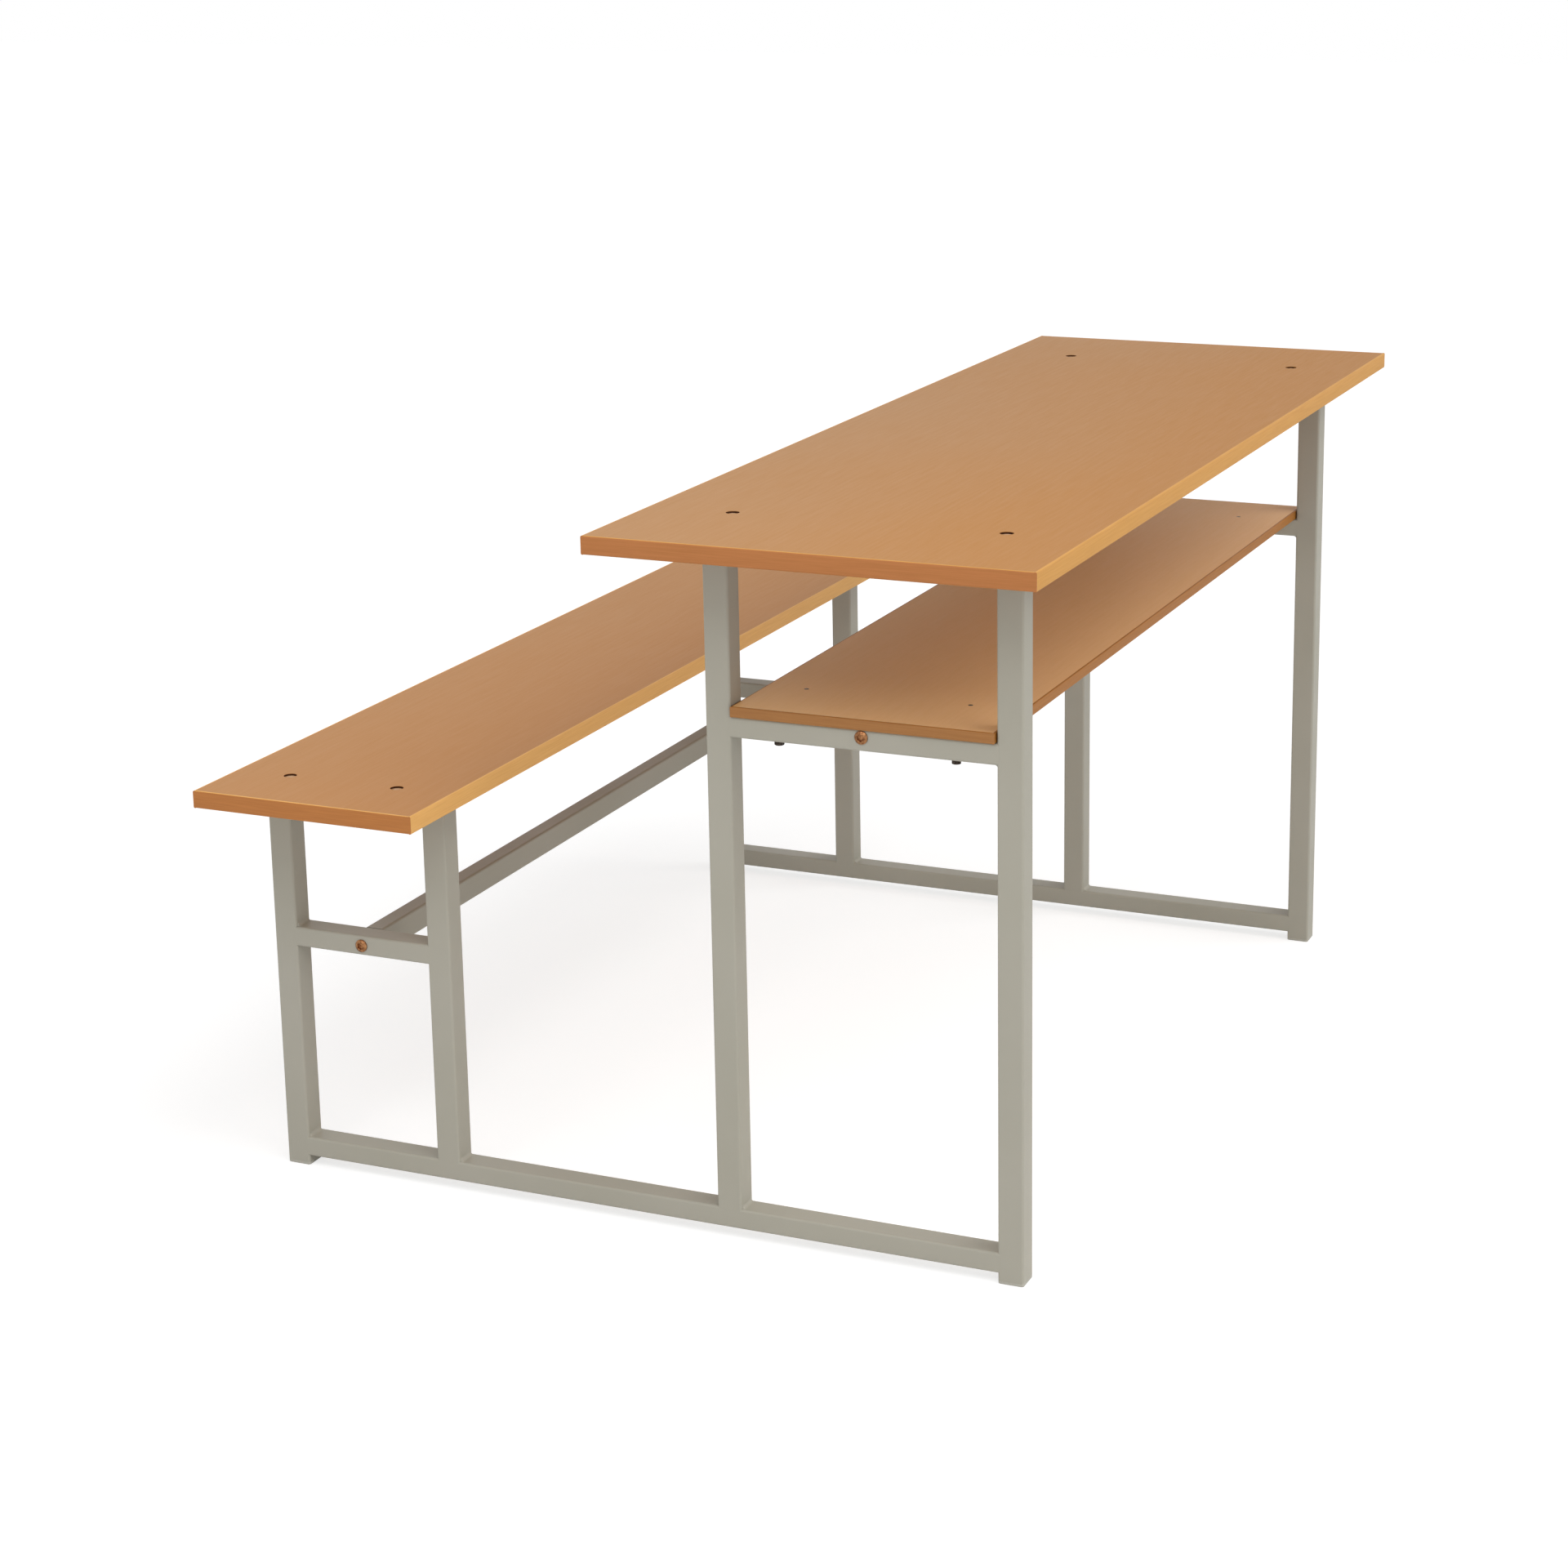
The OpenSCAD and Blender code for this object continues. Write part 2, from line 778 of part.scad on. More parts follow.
// Countersunk screw, point down, its head's face on z = 0, and grown all round by play
module countersunk_screw(play) {
    rotate_extrude()
        polygon([
            [0, 0],
            [top_screw_head_d / 2 + play, 0],
            [top_screw_d / 2 + play, -top_screw_head_h],
            [top_screw_d / 2 + play, -top_screw_l],
            [0, -top_screw_l]
        ]);
}

module shelf_top_screws() {
    color(dark_steel)
        at_both_ends()
            for (y = top_screw_ys)
                translate([top_screw_x, y, shelf_h])
                    countersunk_screw(0);
}

desk_top();
desk_top_edging();
seat();
seat_edging();
book_shelf();
book_shelf_edging();
bottom_rail(right);  // right_bottom_rail
bench_rear_leg(right);  // right_bench_rear_leg
bench_front_leg(right);  // right_bench_front_leg
bench_cross_rail(right);  // right_bench_cross_rail
bench_top_rail(right);  // right_bench_top_rail
desk_rear_leg(right);  // right_desk_rear_leg
desk_front_leg(right);  // right_desk_front_leg
desk_cross_rail(right);  // right_desk_cross_rail
desk_top_rail(right);  // right_desk_top_rail
seat_cleats(right);  // right_seat_cleats
desk_cleats(right);  // right_desk_cleats
shelf_cleats(right);  // right_shelf_cleats
weld_beads(right);  // right_weld_beads
ground_welds(right);  // right_ground_welds
foot(right, bench_rear_leg_y);  // right_rear_foot
foot(right, desk_front_leg_y);  // right_front_foot
bottom_rail(left);  // left_bottom_rail
bench_rear_leg(left);  // left_bench_rear_leg
bench_front_leg(left);  // left_bench_front_leg
bench_cross_rail(left);  // left_bench_cross_rail
bench_top_rail(left);  // left_bench_top_rail
desk_rear_leg(left);  // left_desk_rear_leg
desk_front_leg(left);  // left_desk_front_leg
desk_cross_rail(left);  // left_desk_cross_rail
desk_top_rail(left);  // left_desk_top_rail
seat_cleats(left);  // left_seat_cleats
desk_cleats(left);  // left_desk_cleats
shelf_cleats(left);  // left_shelf_cleats
weld_beads(left);  // left_weld_beads
ground_welds(left);  // left_ground_welds
foot(left, bench_rear_leg_y);  // left_rear_foot
foot(left, desk_front_leg_y);  // left_front_foot
seat_stretcher();
seat_stretcher_plugs();
seat_stretcher_bolts();
shelf_stretcher();
shelf_stretcher_plugs();
shelf_stretcher_bolts();
seat_screws();
seat_screw_nuts();
seat_screw_caps();
desk_top_screws();
desk_top_screw_nuts();
desk_top_screw_caps();
shelf_screws();
shelf_top_screws();
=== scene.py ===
# School desk for two with its bench: finishes, edging, fasteners, feet and welds on the CAD frame.
# Metres. X runs along the boards, Y from the bench to the desk, Z up from the floor.

import json
import math

import bmesh
import bpy
from mathutils import Matrix, Vector


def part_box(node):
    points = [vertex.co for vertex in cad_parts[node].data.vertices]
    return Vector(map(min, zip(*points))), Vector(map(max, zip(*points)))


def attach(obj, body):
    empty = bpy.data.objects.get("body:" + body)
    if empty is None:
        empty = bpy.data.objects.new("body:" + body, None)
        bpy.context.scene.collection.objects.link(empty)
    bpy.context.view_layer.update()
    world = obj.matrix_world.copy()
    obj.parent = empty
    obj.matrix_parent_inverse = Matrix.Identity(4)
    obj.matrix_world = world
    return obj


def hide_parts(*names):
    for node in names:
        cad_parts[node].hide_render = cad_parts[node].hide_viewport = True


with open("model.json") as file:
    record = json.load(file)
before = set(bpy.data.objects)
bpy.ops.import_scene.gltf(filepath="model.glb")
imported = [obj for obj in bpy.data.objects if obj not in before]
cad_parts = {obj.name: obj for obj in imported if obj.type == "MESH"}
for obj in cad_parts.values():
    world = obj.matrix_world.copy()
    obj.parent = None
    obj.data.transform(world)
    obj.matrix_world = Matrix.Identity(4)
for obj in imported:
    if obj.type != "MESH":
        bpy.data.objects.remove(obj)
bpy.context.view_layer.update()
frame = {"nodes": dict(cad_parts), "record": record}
mm = 0.001
quarterTurn = math.pi / 2
print("frame loaded:", len(frame["nodes"]), "CAD nodes")

# Camera of the reference view. Azimuth 0 looks along +Y, and the shift is a share of the picture.
cameraLook = {
    "place": (2.98897, 1.27549, 1.27825),
    "azimuth": 113.06,
    "elevation": 13.98,
    "roll": -0.75,
    "lens": 72.53,
    "sensor": 36,
    "shift": (-0.0443, -0.1016),
}


def addCamera(look):
    a, e, r = (math.radians(look[key]) for key in ("azimuth", "elevation", "roll"))
    back = Vector((math.sin(a) * math.cos(e), -math.cos(a) * math.cos(e), math.sin(e)))
    right = Vector((math.cos(a), math.sin(a), 0))
    up = back.cross(right)
    across = right * math.cos(r) + up * math.sin(r)
    upright = up * math.cos(r) - right * math.sin(r)
    data = bpy.data.cameras.new("camera")
    data.lens = look["lens"]
    data.sensor_width = look["sensor"]
    data.shift_x, data.shift_y = look["shift"]
    camera = bpy.data.objects.new("camera", data)
    bpy.context.scene.collection.objects.link(camera)
    turned = Matrix((across, upright, back)).transposed().to_4x4()
    camera.matrix_world = Matrix.Translation(look["place"]) @ turned
    bpy.context.scene.camera = camera


addCamera(cameraLook)
print("camera set")


def addNode(tree, kind, links, **settings):
    # links says what goes into each input: a value, an output, or a list of outputs
    node = tree.nodes.new(kind)
    for name, value in settings.items():
        setattr(node, name, value)
    for socket, value in links.items():
        for one in value if isinstance(value, list) else [value]:
            if isinstance(one, bpy.types.NodeSocket):
                tree.links.new(one, node.inputs[socket])
            else:
                node.inputs[socket].default_value = one
    return node.outputs


def linear(hexColour):
    # sRGB hex to the linear colour that a shader takes
    parts = [int(hexColour[i:i + 2], 16) / 255 for i in (0, 2, 4)]
    return (*(c / 12.92 if c <= 0.04045 else ((c + 0.055) / 1.055) ** 2.4 for c in parts), 1)


def newFinish(name):
    finish = bpy.data.materials.new(name)
    finish.use_nodes = True
    tree = finish.node_tree
    tree.nodes.clear()
    return finish, tree, addNode(tree, "ShaderNodeTexCoord", {})["Object"]


def stretchedMarks(tree, place, sizes, inputs):
    # Veins, flecks and streaks. sizes are what one of them measures along X, Y and Z.
    scaled = addNode(tree, "ShaderNodeMapping", {
        "Vector": place, "Scale": tuple(1 / size for size in sizes),
    })[0]
    return addNode(tree, "ShaderNodeTexNoise", {"Vector": scaled, "Scale": 1, **inputs})[0]


def closeFinish(tree, look, height, inputs):
    bump = addNode(tree, "ShaderNodeBump", {
        "Height": height, "Strength": look["bump"], "Distance": look["bumpDepth"],
    })[0]
    shader = addNode(tree, "ShaderNodeBsdfPrincipled", {**inputs, "Normal": bump})[0]
    addNode(tree, "ShaderNodeOutputMaterial", {"Surface": shader})


# Boards: hex colours, and where along Y a board turns from rosy to warm
boardLooks = {
    "desk_top": {"rosy": "AD8052", "warm": "AF7839", "vein": "9F6F37", "turn": (0.0, 0.42)},
    "seat": {"rosy": "B58351", "warm": "B8814A", "vein": "A87142", "turn": (-0.42, -0.19)},
    # The shelf's colours carry painted light: they are paler than the desk top's and the seat's to make up
    # for the desk top's shade over the shelf, though the three boards are probably one melamine.
    "book_shelf": {"rosy": "E2B67B", "warm": "DFB27E", "vein": "CBA06E", "turn": (0.1, 0.35)},
}
boardGrain = {
    "veinSize": (60 * mm, 3.5 * mm, 3.5 * mm),    # beech pores are 0.3 mm wide, drawn coarser to show
    "veinRange": (0.4, 0.75),
    "veinShare": 0.11,
    "fleckSize": (9 * mm, 1.4 * mm, 1.4 * mm),
    "fleckRange": (0.62, 0.72),
    "fleckShare": 0.1,
    "driftSize": 454.545 * mm,
    "turnRange": (-0.25, 0.75),    # how warm a board is from its rosy to its warm side, less the drift
    "faceThickness": 0.3 * mm,
    "chipSize": 1.6 * mm,
    # The chipboard's two colours are darker than bare chips: painted shade for the walls of the counterbores.
    "shadedCore": "4F2D18",
    "shadedCoreDark": "28140A",
    "roughRange": (0.3, 0.7),
    "rough": (0.5, 0.58),
    "ior": 1.5,
    "specular": 0.2,
    "bump": 0.08,
    "bumpDepth": 0.1 * mm,
}


def beechMelamine(node, look, grain):
    # Melamine-faced chipboard, a beech print pressed hot on chips: the eye gets an even satin tan with
    # hardly any grain. Where a counterbore cuts through the face, the chipboard is drawn darker than bare
    # chips: painted shade for the hollow.
    finish, tree, place = newFinish("beechMelamine_" + node)
    low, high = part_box(node)
    split = addNode(tree, "ShaderNodeSeparateXYZ", {0: place})
    drift = addNode(tree, "ShaderNodeTexNoise", {
        "Vector": place, "Scale": 1 / grain["driftSize"], "Detail": 1,
    })[0]
    across = addNode(tree, "ShaderNodeMapRange", {
        "Value": split[1], "From Min": look["turn"][0], "From Max": look["turn"][1],
        "To Min": grain["turnRange"][0], "To Max": grain["turnRange"][1],
    })[0]
    tone = addNode(tree, "ShaderNodeMath", {0: across, 1: drift}, operation="ADD", use_clamp=True)[0]
    face = addNode(tree, "ShaderNodeMix", {0: tone, 6: linear(look["rosy"]), 7: linear(look["warm"])},
                   data_type="RGBA")[2]
    veins = stretchedMarks(tree, place, grain["veinSize"], {
        "Detail": 4, "Roughness": 0.6, "Distortion": 0.3,
    })
    flecks = stretchedMarks(tree, place, grain["fleckSize"], {"Detail": 1})
    for marks, kind in ((veins, "vein"), (flecks, "fleck")):
        share = addNode(tree, "ShaderNodeMapRange", {
            "Value": marks, "From Min": grain[kind + "Range"][0], "From Max": grain[kind + "Range"][1],
            "To Min": 0, "To Max": grain[kind + "Share"],
        })[0]
        face = addNode(tree, "ShaderNodeMix", {0: share, 6: face, 7: linear(look["vein"])},
                       data_type="RGBA")[2]
    chips = addNode(tree, "ShaderNodeTexVoronoi", {"Vector": place, "Scale": 1 / grain["chipSize"]})[0]
    # Painted shade: the chipboard in a counterbore's wall is mixed from the darkened colours
    shadedCore = addNode(tree, "ShaderNodeMix", {
        0: chips, 6: linear(grain["shadedCoreDark"]), 7: linear(grain["shadedCore"]),
    }, data_type="RGBA")[2]
    fromMiddle = addNode(tree, "ShaderNodeMath", {0: split[2], 1: (low[2] + high[2]) / 2},
                         operation="SUBTRACT")[0]
    depth = addNode(tree, "ShaderNodeMath", {0: fromMiddle}, operation="ABSOLUTE")[0]
    isShadedCore = addNode(tree, "ShaderNodeMath", {
        0: depth, 1: (high[2] - low[2]) / 2 - grain["faceThickness"],
    }, operation="LESS_THAN")[0]
    colour = addNode(tree, "ShaderNodeMix", {0: isShadedCore, 6: face, 7: shadedCore}, data_type="RGBA")[2]
    satin = addNode(tree, "ShaderNodeMapRange", {
        "Value": veins, "From Min": grain["roughRange"][0], "From Max": grain["roughRange"][1],
        "To Min": grain["rough"][0], "To Max": grain["rough"][1],
    })[0]
    roughness = addNode(tree, "ShaderNodeMath", {0: satin, 1: isShadedCore}, operation="MAXIMUM")[0]
    closeFinish(tree, grain, veins, {
        "Base Color": colour, "Roughness": roughness, "IOR": grain["ior"],
        "Specular IOR Level": grain["specular"],
    })
    return finish


for node, look in boardLooks.items():
    frame["nodes"][node].material_slots[0].material = beechMelamine(node, look, boardGrain)
print("boards finished")

# Edging: hex colours of the long sides and of the ends. They are a lit golden copy and a shaded brown copy of
# what is probably one band colour; among the long sides the seat's is painted lighter and the shelf's darker,
# with the light each one gets
edgingLooks = {
    "desk_top": {"side": "CB9448", "sideStreak": "C18A3E", "end": "AC6E3E", "endStreak": "A06636"},
    "seat": {"side": "E4AF65", "sideStreak": "D8A157", "end": "B0713A", "endStreak": "A36734"},
    "book_shelf": {"side": "A26A2D", "sideStreak": "966027", "end": "9F6E3E", "endStreak": "946437"},
}
edgingGrain = {
    "streakSize": (45 * mm, 45 * mm, 1.1 * mm),    # the print's lines are 0.2 mm wide, drawn coarser to show
    "streakRange": (0.35, 0.7),
    "streakShare": 0.8,
    "endDepth": 0.5 * mm,
    "rough": 0.5,
    "ior": 1.54,
    "specular": 0.2,
    "bump": 0.1,
    "bumpDepth": 0.05 * mm,
}


def absEdging(node, look, grain):
    # ABS edge band, extruded, printed and scraped flush: silky, with fine level streaks. Its colour carries
    # painted light, golden on the long sides, and painted shade, brown on the ends
    finish, tree, place = newFinish("absEdging_" + node)
    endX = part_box(node)[1][0]
    streaks = stretchedMarks(tree, place, grain["streakSize"], {"Detail": 3})
    share = addNode(tree, "ShaderNodeMapRange", {
        "Value": streaks, "From Min": grain["streakRange"][0], "From Max": grain["streakRange"][1],
        "To Min": 0, "To Max": grain["streakShare"],
    })[0]
    side, end = (addNode(tree, "ShaderNodeMix", {
        0: share, 6: linear(look[face]), 7: linear(look[face + "Streak"]),
    }, data_type="RGBA")[2] for face in ("side", "end"))
    split = addNode(tree, "ShaderNodeSeparateXYZ", {0: place})
    fromMiddle = addNode(tree, "ShaderNodeMath", {0: split[0]}, operation="ABSOLUTE")[0]
    # The faces that look along X take the shaded copy of the colour: painted shade
    isShadedEnd = addNode(tree, "ShaderNodeMath", {0: fromMiddle, 1: endX - grain["endDepth"]},
                    operation="GREATER_THAN")[0]
    colour = addNode(tree, "ShaderNodeMix", {0: isShadedEnd, 6: side, 7: end}, data_type="RGBA")[2]
    closeFinish(tree, grain, streaks, {
        "Base Color": colour, "Roughness": grain["rough"], "IOR": grain["ior"],
        "Specular IOR Level": grain["specular"],
    })
    return finish


# Coat of the frames, cleats, welds and stretchers
coatLook = {
    "pale": "A8A499",
    "deep": "9D9A8C",
    "cloudSize": 160 * mm,
    "peelSize": 2.2 * mm,    # the coat's orange peel is about 1 mm across, drawn coarser
    "roughRange": (0.3, 0.7),
    "rough": (0.42, 0.5),
    "ior": 1.5,
    "specular": 0.3,
    "bump": 0.25,
    "bumpDepth": 0.08 * mm,
}


def powderCoat(look):
    # Polyester powder coat, sprayed dry and baked on mild steel tube: warm light grey, half matt, with a
    # soft orange peel that breaks up the highlights
    finish, tree, place = newFinish("greyPowderCoat")
    clouds = addNode(tree, "ShaderNodeTexNoise", {
        "Vector": place, "Scale": 1 / look["cloudSize"], "Detail": 3,
    })[0]
    colour = addNode(tree, "ShaderNodeMix", {
        0: clouds, 6: linear(look["pale"]), 7: linear(look["deep"]),
    }, data_type="RGBA")[2]
    peel = addNode(tree, "ShaderNodeTexNoise", {
        "Vector": place, "Scale": 1 / look["peelSize"], "Detail": 1,
    })[0]
    roughness = addNode(tree, "ShaderNodeMapRange", {
        "Value": clouds, "From Min": look["roughRange"][0], "From Max": look["roughRange"][1],
        "To Min": look["rough"][0], "To Max": look["rough"][1],
    })[0]
    closeFinish(tree, look, peel, {
        "Base Color": colour, "Roughness": roughness, "IOR": look["ior"],
        "Specular IOR Level": look["specular"],
    })
    return finish


# Small metal and plastic pieces: how pale, deep, rough and uneven each is
smallLooks = {
    "polypropyleneFoot": {
        # Polypropylene, injection moulded in an eroded mould: grey, dull and faintly grained
        "pale": "AEABA0", "deep": "A29F94", "size": 1.2 * mm, "metal": 0, "rough": (0.5, 0.6), "bump": 0.2,
    },
    "polyetheneCap": {
        # Polythene cap, injection moulded in the boards' colour: waxy and a little glossier than they are
        "pale": "BB9065", "deep": "B1855A", "size": 3 * mm, "metal": 0, "rough": (0.34, 0.4), "bump": 0.1,
    },
    "yellowZincSteel": {
        # Cold-headed steel, zinc plated and yellow passivated: orange-brown with a cloudy, oily shift
        "pale": "B58359", "deep": "805437", "size": 2.5 * mm, "metal": 1, "rough": (0.36, 0.5), "bump": 0.1,
    },
    "clearZincSteel": {
        # Cold-headed steel, zinc plated and clear passivated: cool light grey, lightly clouded
        "pale": "B9BABB", "deep": "989A9E", "size": 2 * mm, "metal": 1, "rough": (0.32, 0.45), "bump": 0.1,
    },
    "turnedSteel": {
        # Free-cutting steel bar, turned and left bare: mid grey, dulled by handling and welding heat
        "pale": "8E8B87", "deep": "6F6B67", "size": 4 * mm, "metal": 1, "rough": (0.4, 0.6), "bump": 0.15,
    },
    "blackOxideSteel": {
        # Hardened steel, blackened in hot salt and oiled: nearly black with a low brown sheen
        "pale": "574E46", "deep": "352E29", "size": 1.5 * mm, "metal": 1, "rough": (0.4, 0.55), "bump": 0.1,
    },
}
smallClouds = {"shareRange": (0.35, 0.65), "bumpDepth": 0.05 * mm}


def cloudedFinish(name, look):
    finish, tree, place = newFinish(name)
    clouds = addNode(tree, "ShaderNodeTexNoise", {
        "Vector": place, "Scale": 1 / look["size"], "Detail": 3,
    })[0]
    share = addNode(tree, "ShaderNodeMapRange", {
        "Value": clouds, "From Min": look["shareRange"][0], "From Max": look["shareRange"][1],
        "To Min": 0, "To Max": 1,
    })[0]
    colour = addNode(tree, "ShaderNodeMix", {
        0: share, 6: linear(look["pale"]), 7: linear(look["deep"]),
    }, data_type="RGBA")[2]
    roughness = addNode(tree, "ShaderNodeMapRange", {
        "Value": share, "From Min": 0, "From Max": 1, "To Min": look["rough"][0], "To Max": look["rough"][1],
    })[0]
    closeFinish(tree, look, clouds, {"Base Color": colour, "Roughness": roughness, "Metallic": look["metal"]})
    return finish


coat = powderCoat(coatLook)
small = {name: cloudedFinish(name, dict(smallClouds, **look)) for name, look in smallLooks.items()}
slotFinishes = {
    "frame_paint": coat,
    "foot_plastic": small["polypropyleneFoot"],
    "plain_steel": small["turnedSteel"],
    "yellow_zinc": small["yellowZincSteel"],
    "zinc": small["clearZincSteel"],
    "cap_plastic": small["polyetheneCap"],
    "dark_steel": small["blackOxideSteel"],
}
for part in frame["record"]["subparts"]:
    if part["material_slot"] in slotFinishes:
        frame["nodes"][part["node"]].material_slots[0].material = slotFinishes[part["material_slot"]]
print("frame and small parts finished")

# Boolean settings. Solids are cut two at a time, which keeps them closed.
common = {"operation": "INTERSECT", "solver": "MANIFOLD"}
joined = {"operation": "UNION", "solver": "MANIFOLD"}
without = {"operation": "DIFFERENCE", "solver": "MANIFOLD"}
seeds = {"turn": 4, "size": 9}


def newTree(name, sizes, counts=()):
    tree = bpy.data.node_groups.new(name, "GeometryNodeTree")
    tree.interface.new_socket("Places", in_out="INPUT", socket_type="NodeSocketGeometry")
    for size in sizes:
        tree.interface.new_socket(size, in_out="INPUT", socket_type="NodeSocketFloat")
    for count in counts:
        tree.interface.new_socket(count, in_out="INPUT", socket_type="NodeSocketInt")
    tree.interface.new_socket("Finish", in_out="INPUT", socket_type="NodeSocketMaterial")
    tree.interface.new_socket("Piece", in_out="OUTPUT", socket_type="NodeSocketGeometry")
    return tree, addNode(tree, "NodeGroupInput", {})


def closeTree(tree, given, shape, smooth, spin=0, swell=0):
    # Rounds edges under smooth degrees, then puts one copy on each place, turned and a little different
    rounded = addNode(tree, "GeometryNodeSetShadeSmooth", {0: shape, "Shade Smooth": True}, domain="FACE")[0]
    angle = addNode(tree, "GeometryNodeInputMeshEdgeAngle", {})["Unsigned Angle"]
    gentle = addNode(tree, "FunctionNodeCompare", {0: angle, 1: math.radians(smooth)},
                     data_type="FLOAT", operation="LESS_THAN")[0]
    rounded = addNode(tree, "GeometryNodeSetShadeSmooth", {0: rounded, "Shade Smooth": gentle},
                      domain="EDGE")[0]
    turn = addNode(tree, "GeometryNodeInputNamedAttribute", {"Name": "turn"}, data_type="FLOAT_VECTOR")[0]
    turned = addNode(tree, "FunctionNodeEulerToRotation", {0: turn})[0]
    chance = addNode(tree, "FunctionNodeRandomValue", {
        "Min": (0, 0, -spin), "Max": (0, 0, spin), "Seed": seeds["turn"],
    }, data_type="FLOAT_VECTOR")[0]
    ownTurn = addNode(tree, "FunctionNodeEulerToRotation", {0: chance})[0]
    spun = addNode(tree, "FunctionNodeRotateRotation", {0: turned, 1: ownTurn}, rotation_space="LOCAL")[0]
    sizes = addNode(tree, "FunctionNodeRandomValue", {
        "Min": (1, 1 - swell, 1 - swell), "Max": (1, 1, 1), "Seed": seeds["size"],
    }, data_type="FLOAT_VECTOR")[0]
    placed = addNode(tree, "GeometryNodeInstanceOnPoints", {
        "Points": given["Places"], "Instance": rounded, "Rotation": spun, "Scale": sizes,
    })[0]
    whole = addNode(tree, "GeometryNodeRealizeInstances", {0: placed})[0]
    finished = addNode(tree, "GeometryNodeSetMaterial", {0: whole, "Material": given["Finish"]})[0]
    addNode(tree, "NodeGroupOutput", {0: finished})


def growPiece(name, tree, values, places, finish, node):
    # Places are pairs of a point and a turn. The result is a plain mesh that stands for a CAD node.
    mesh = bpy.data.meshes.new(name)
    mesh.from_pydata([point for point, turn in places], [], [])
    turns = mesh.attributes.new("turn", "FLOAT_VECTOR", "POINT")
    for i, (point, turn) in enumerate(places):
        turns.data[i].vector = turn
    piece = bpy.data.objects.new(name, mesh)
    bpy.context.scene.collection.objects.link(piece)
    modifier = piece.modifiers.new("grow", "NODES")
    modifier.node_group = tree
    given = dict(values, Finish=finish)
    for item in tree.interface.items_tree:
        if item.name in given:
            modifier[item.identifier] = given[item.name]
    bpy.context.view_layer.update()
    shaped = piece.evaluated_get(bpy.context.evaluated_depsgraph_get())
    grown = bpy.data.meshes.new_from_object(shaped)
    piece.modifiers.remove(modifier)
    piece.data = grown
    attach(piece, "root")
    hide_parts(node)


def boxCorners(node, inset, z, turn=(0, 0, 0)):
    # A set of four stands in the corners of its node's box
    low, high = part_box(node)
    xs = (low[0] + inset, high[0] - inset)
    ys = (low[1] + inset, high[1] - inset)
    return [((x, y, z), turn) for x in xs for y in ys]


def lifted(tree, shape, height, share=1):
    # Moves a shape up by a share of a height
    rise = addNode(tree, "ShaderNodeMath", {0: height, 1: share}, operation="MULTIPLY")[0]
    way = addNode(tree, "ShaderNodeCombineXYZ", {2: rise})[0]
    return addNode(tree, "GeometryNodeTransform", {"Geometry": shape, "Translation": way})[0]


def domedDisc(tree, radius, height, ballRadius, sides, rings):
    # Disc that stands on z = 0 and has the top of a ball
    disc = addNode(tree, "GeometryNodeMeshCylinder", {
        "Vertices": sides, "Radius": radius, "Depth": height,
    })["Mesh"]
    disc = lifted(tree, disc, height, 0.5)
    ball = addNode(tree, "GeometryNodeMeshUVSphere", {
        "Segments": sides, "Rings": rings, "Radius": ballRadius,
    })["Mesh"]
    middle = addNode(tree, "ShaderNodeMath", {0: height, 1: ballRadius}, operation="SUBTRACT")[0]
    ball = lifted(tree, ball, middle)
    return addNode(tree, "GeometryNodeMeshBoolean", {"Mesh 2": [disc, ball]}, **common)[0]


def turnedHexagon(tree, radius, height, share, shape):
    # Hexagon, lifted by a share of its height, whose corners are turned off by a flattened ball at z = 0
    bar = addNode(tree, "GeometryNodeMeshCylinder", {
        "Vertices": 6, "Radius": radius, "Depth": height,
    })["Mesh"]
    bar = lifted(tree, bar, height, share)
    wide = addNode(tree, "ShaderNodeMath", {0: radius, 1: shape["ballWidth"]}, operation="MULTIPLY")[0]
    tall = addNode(tree, "ShaderNodeMath", {0: height, 1: shape["ballHeight"]}, operation="MULTIPLY")[0]
    squash = addNode(tree, "ShaderNodeCombineXYZ", {0: wide, 1: wide, 2: tall})[0]
    ball = addNode(tree, "GeometryNodeMeshUVSphere", {
        "Segments": shape["ballSides"], "Rings": shape["ballRings"], "Radius": 1,
    })["Mesh"]
    ball = addNode(tree, "GeometryNodeTransform", {"Geometry": ball, "Scale": squash})[0]
    return addNode(tree, "GeometryNodeMeshBoolean", {"Mesh 2": [bar, ball]}, **common)[0]


# Edging strips, four round each board
edgingSizes = {"Strip": 2 * mm, "Arris": 1.2 * mm}
edgingShape = {"arrisSteps": 6, "mergeWithin": 0.001 * mm, "smooth": 30}


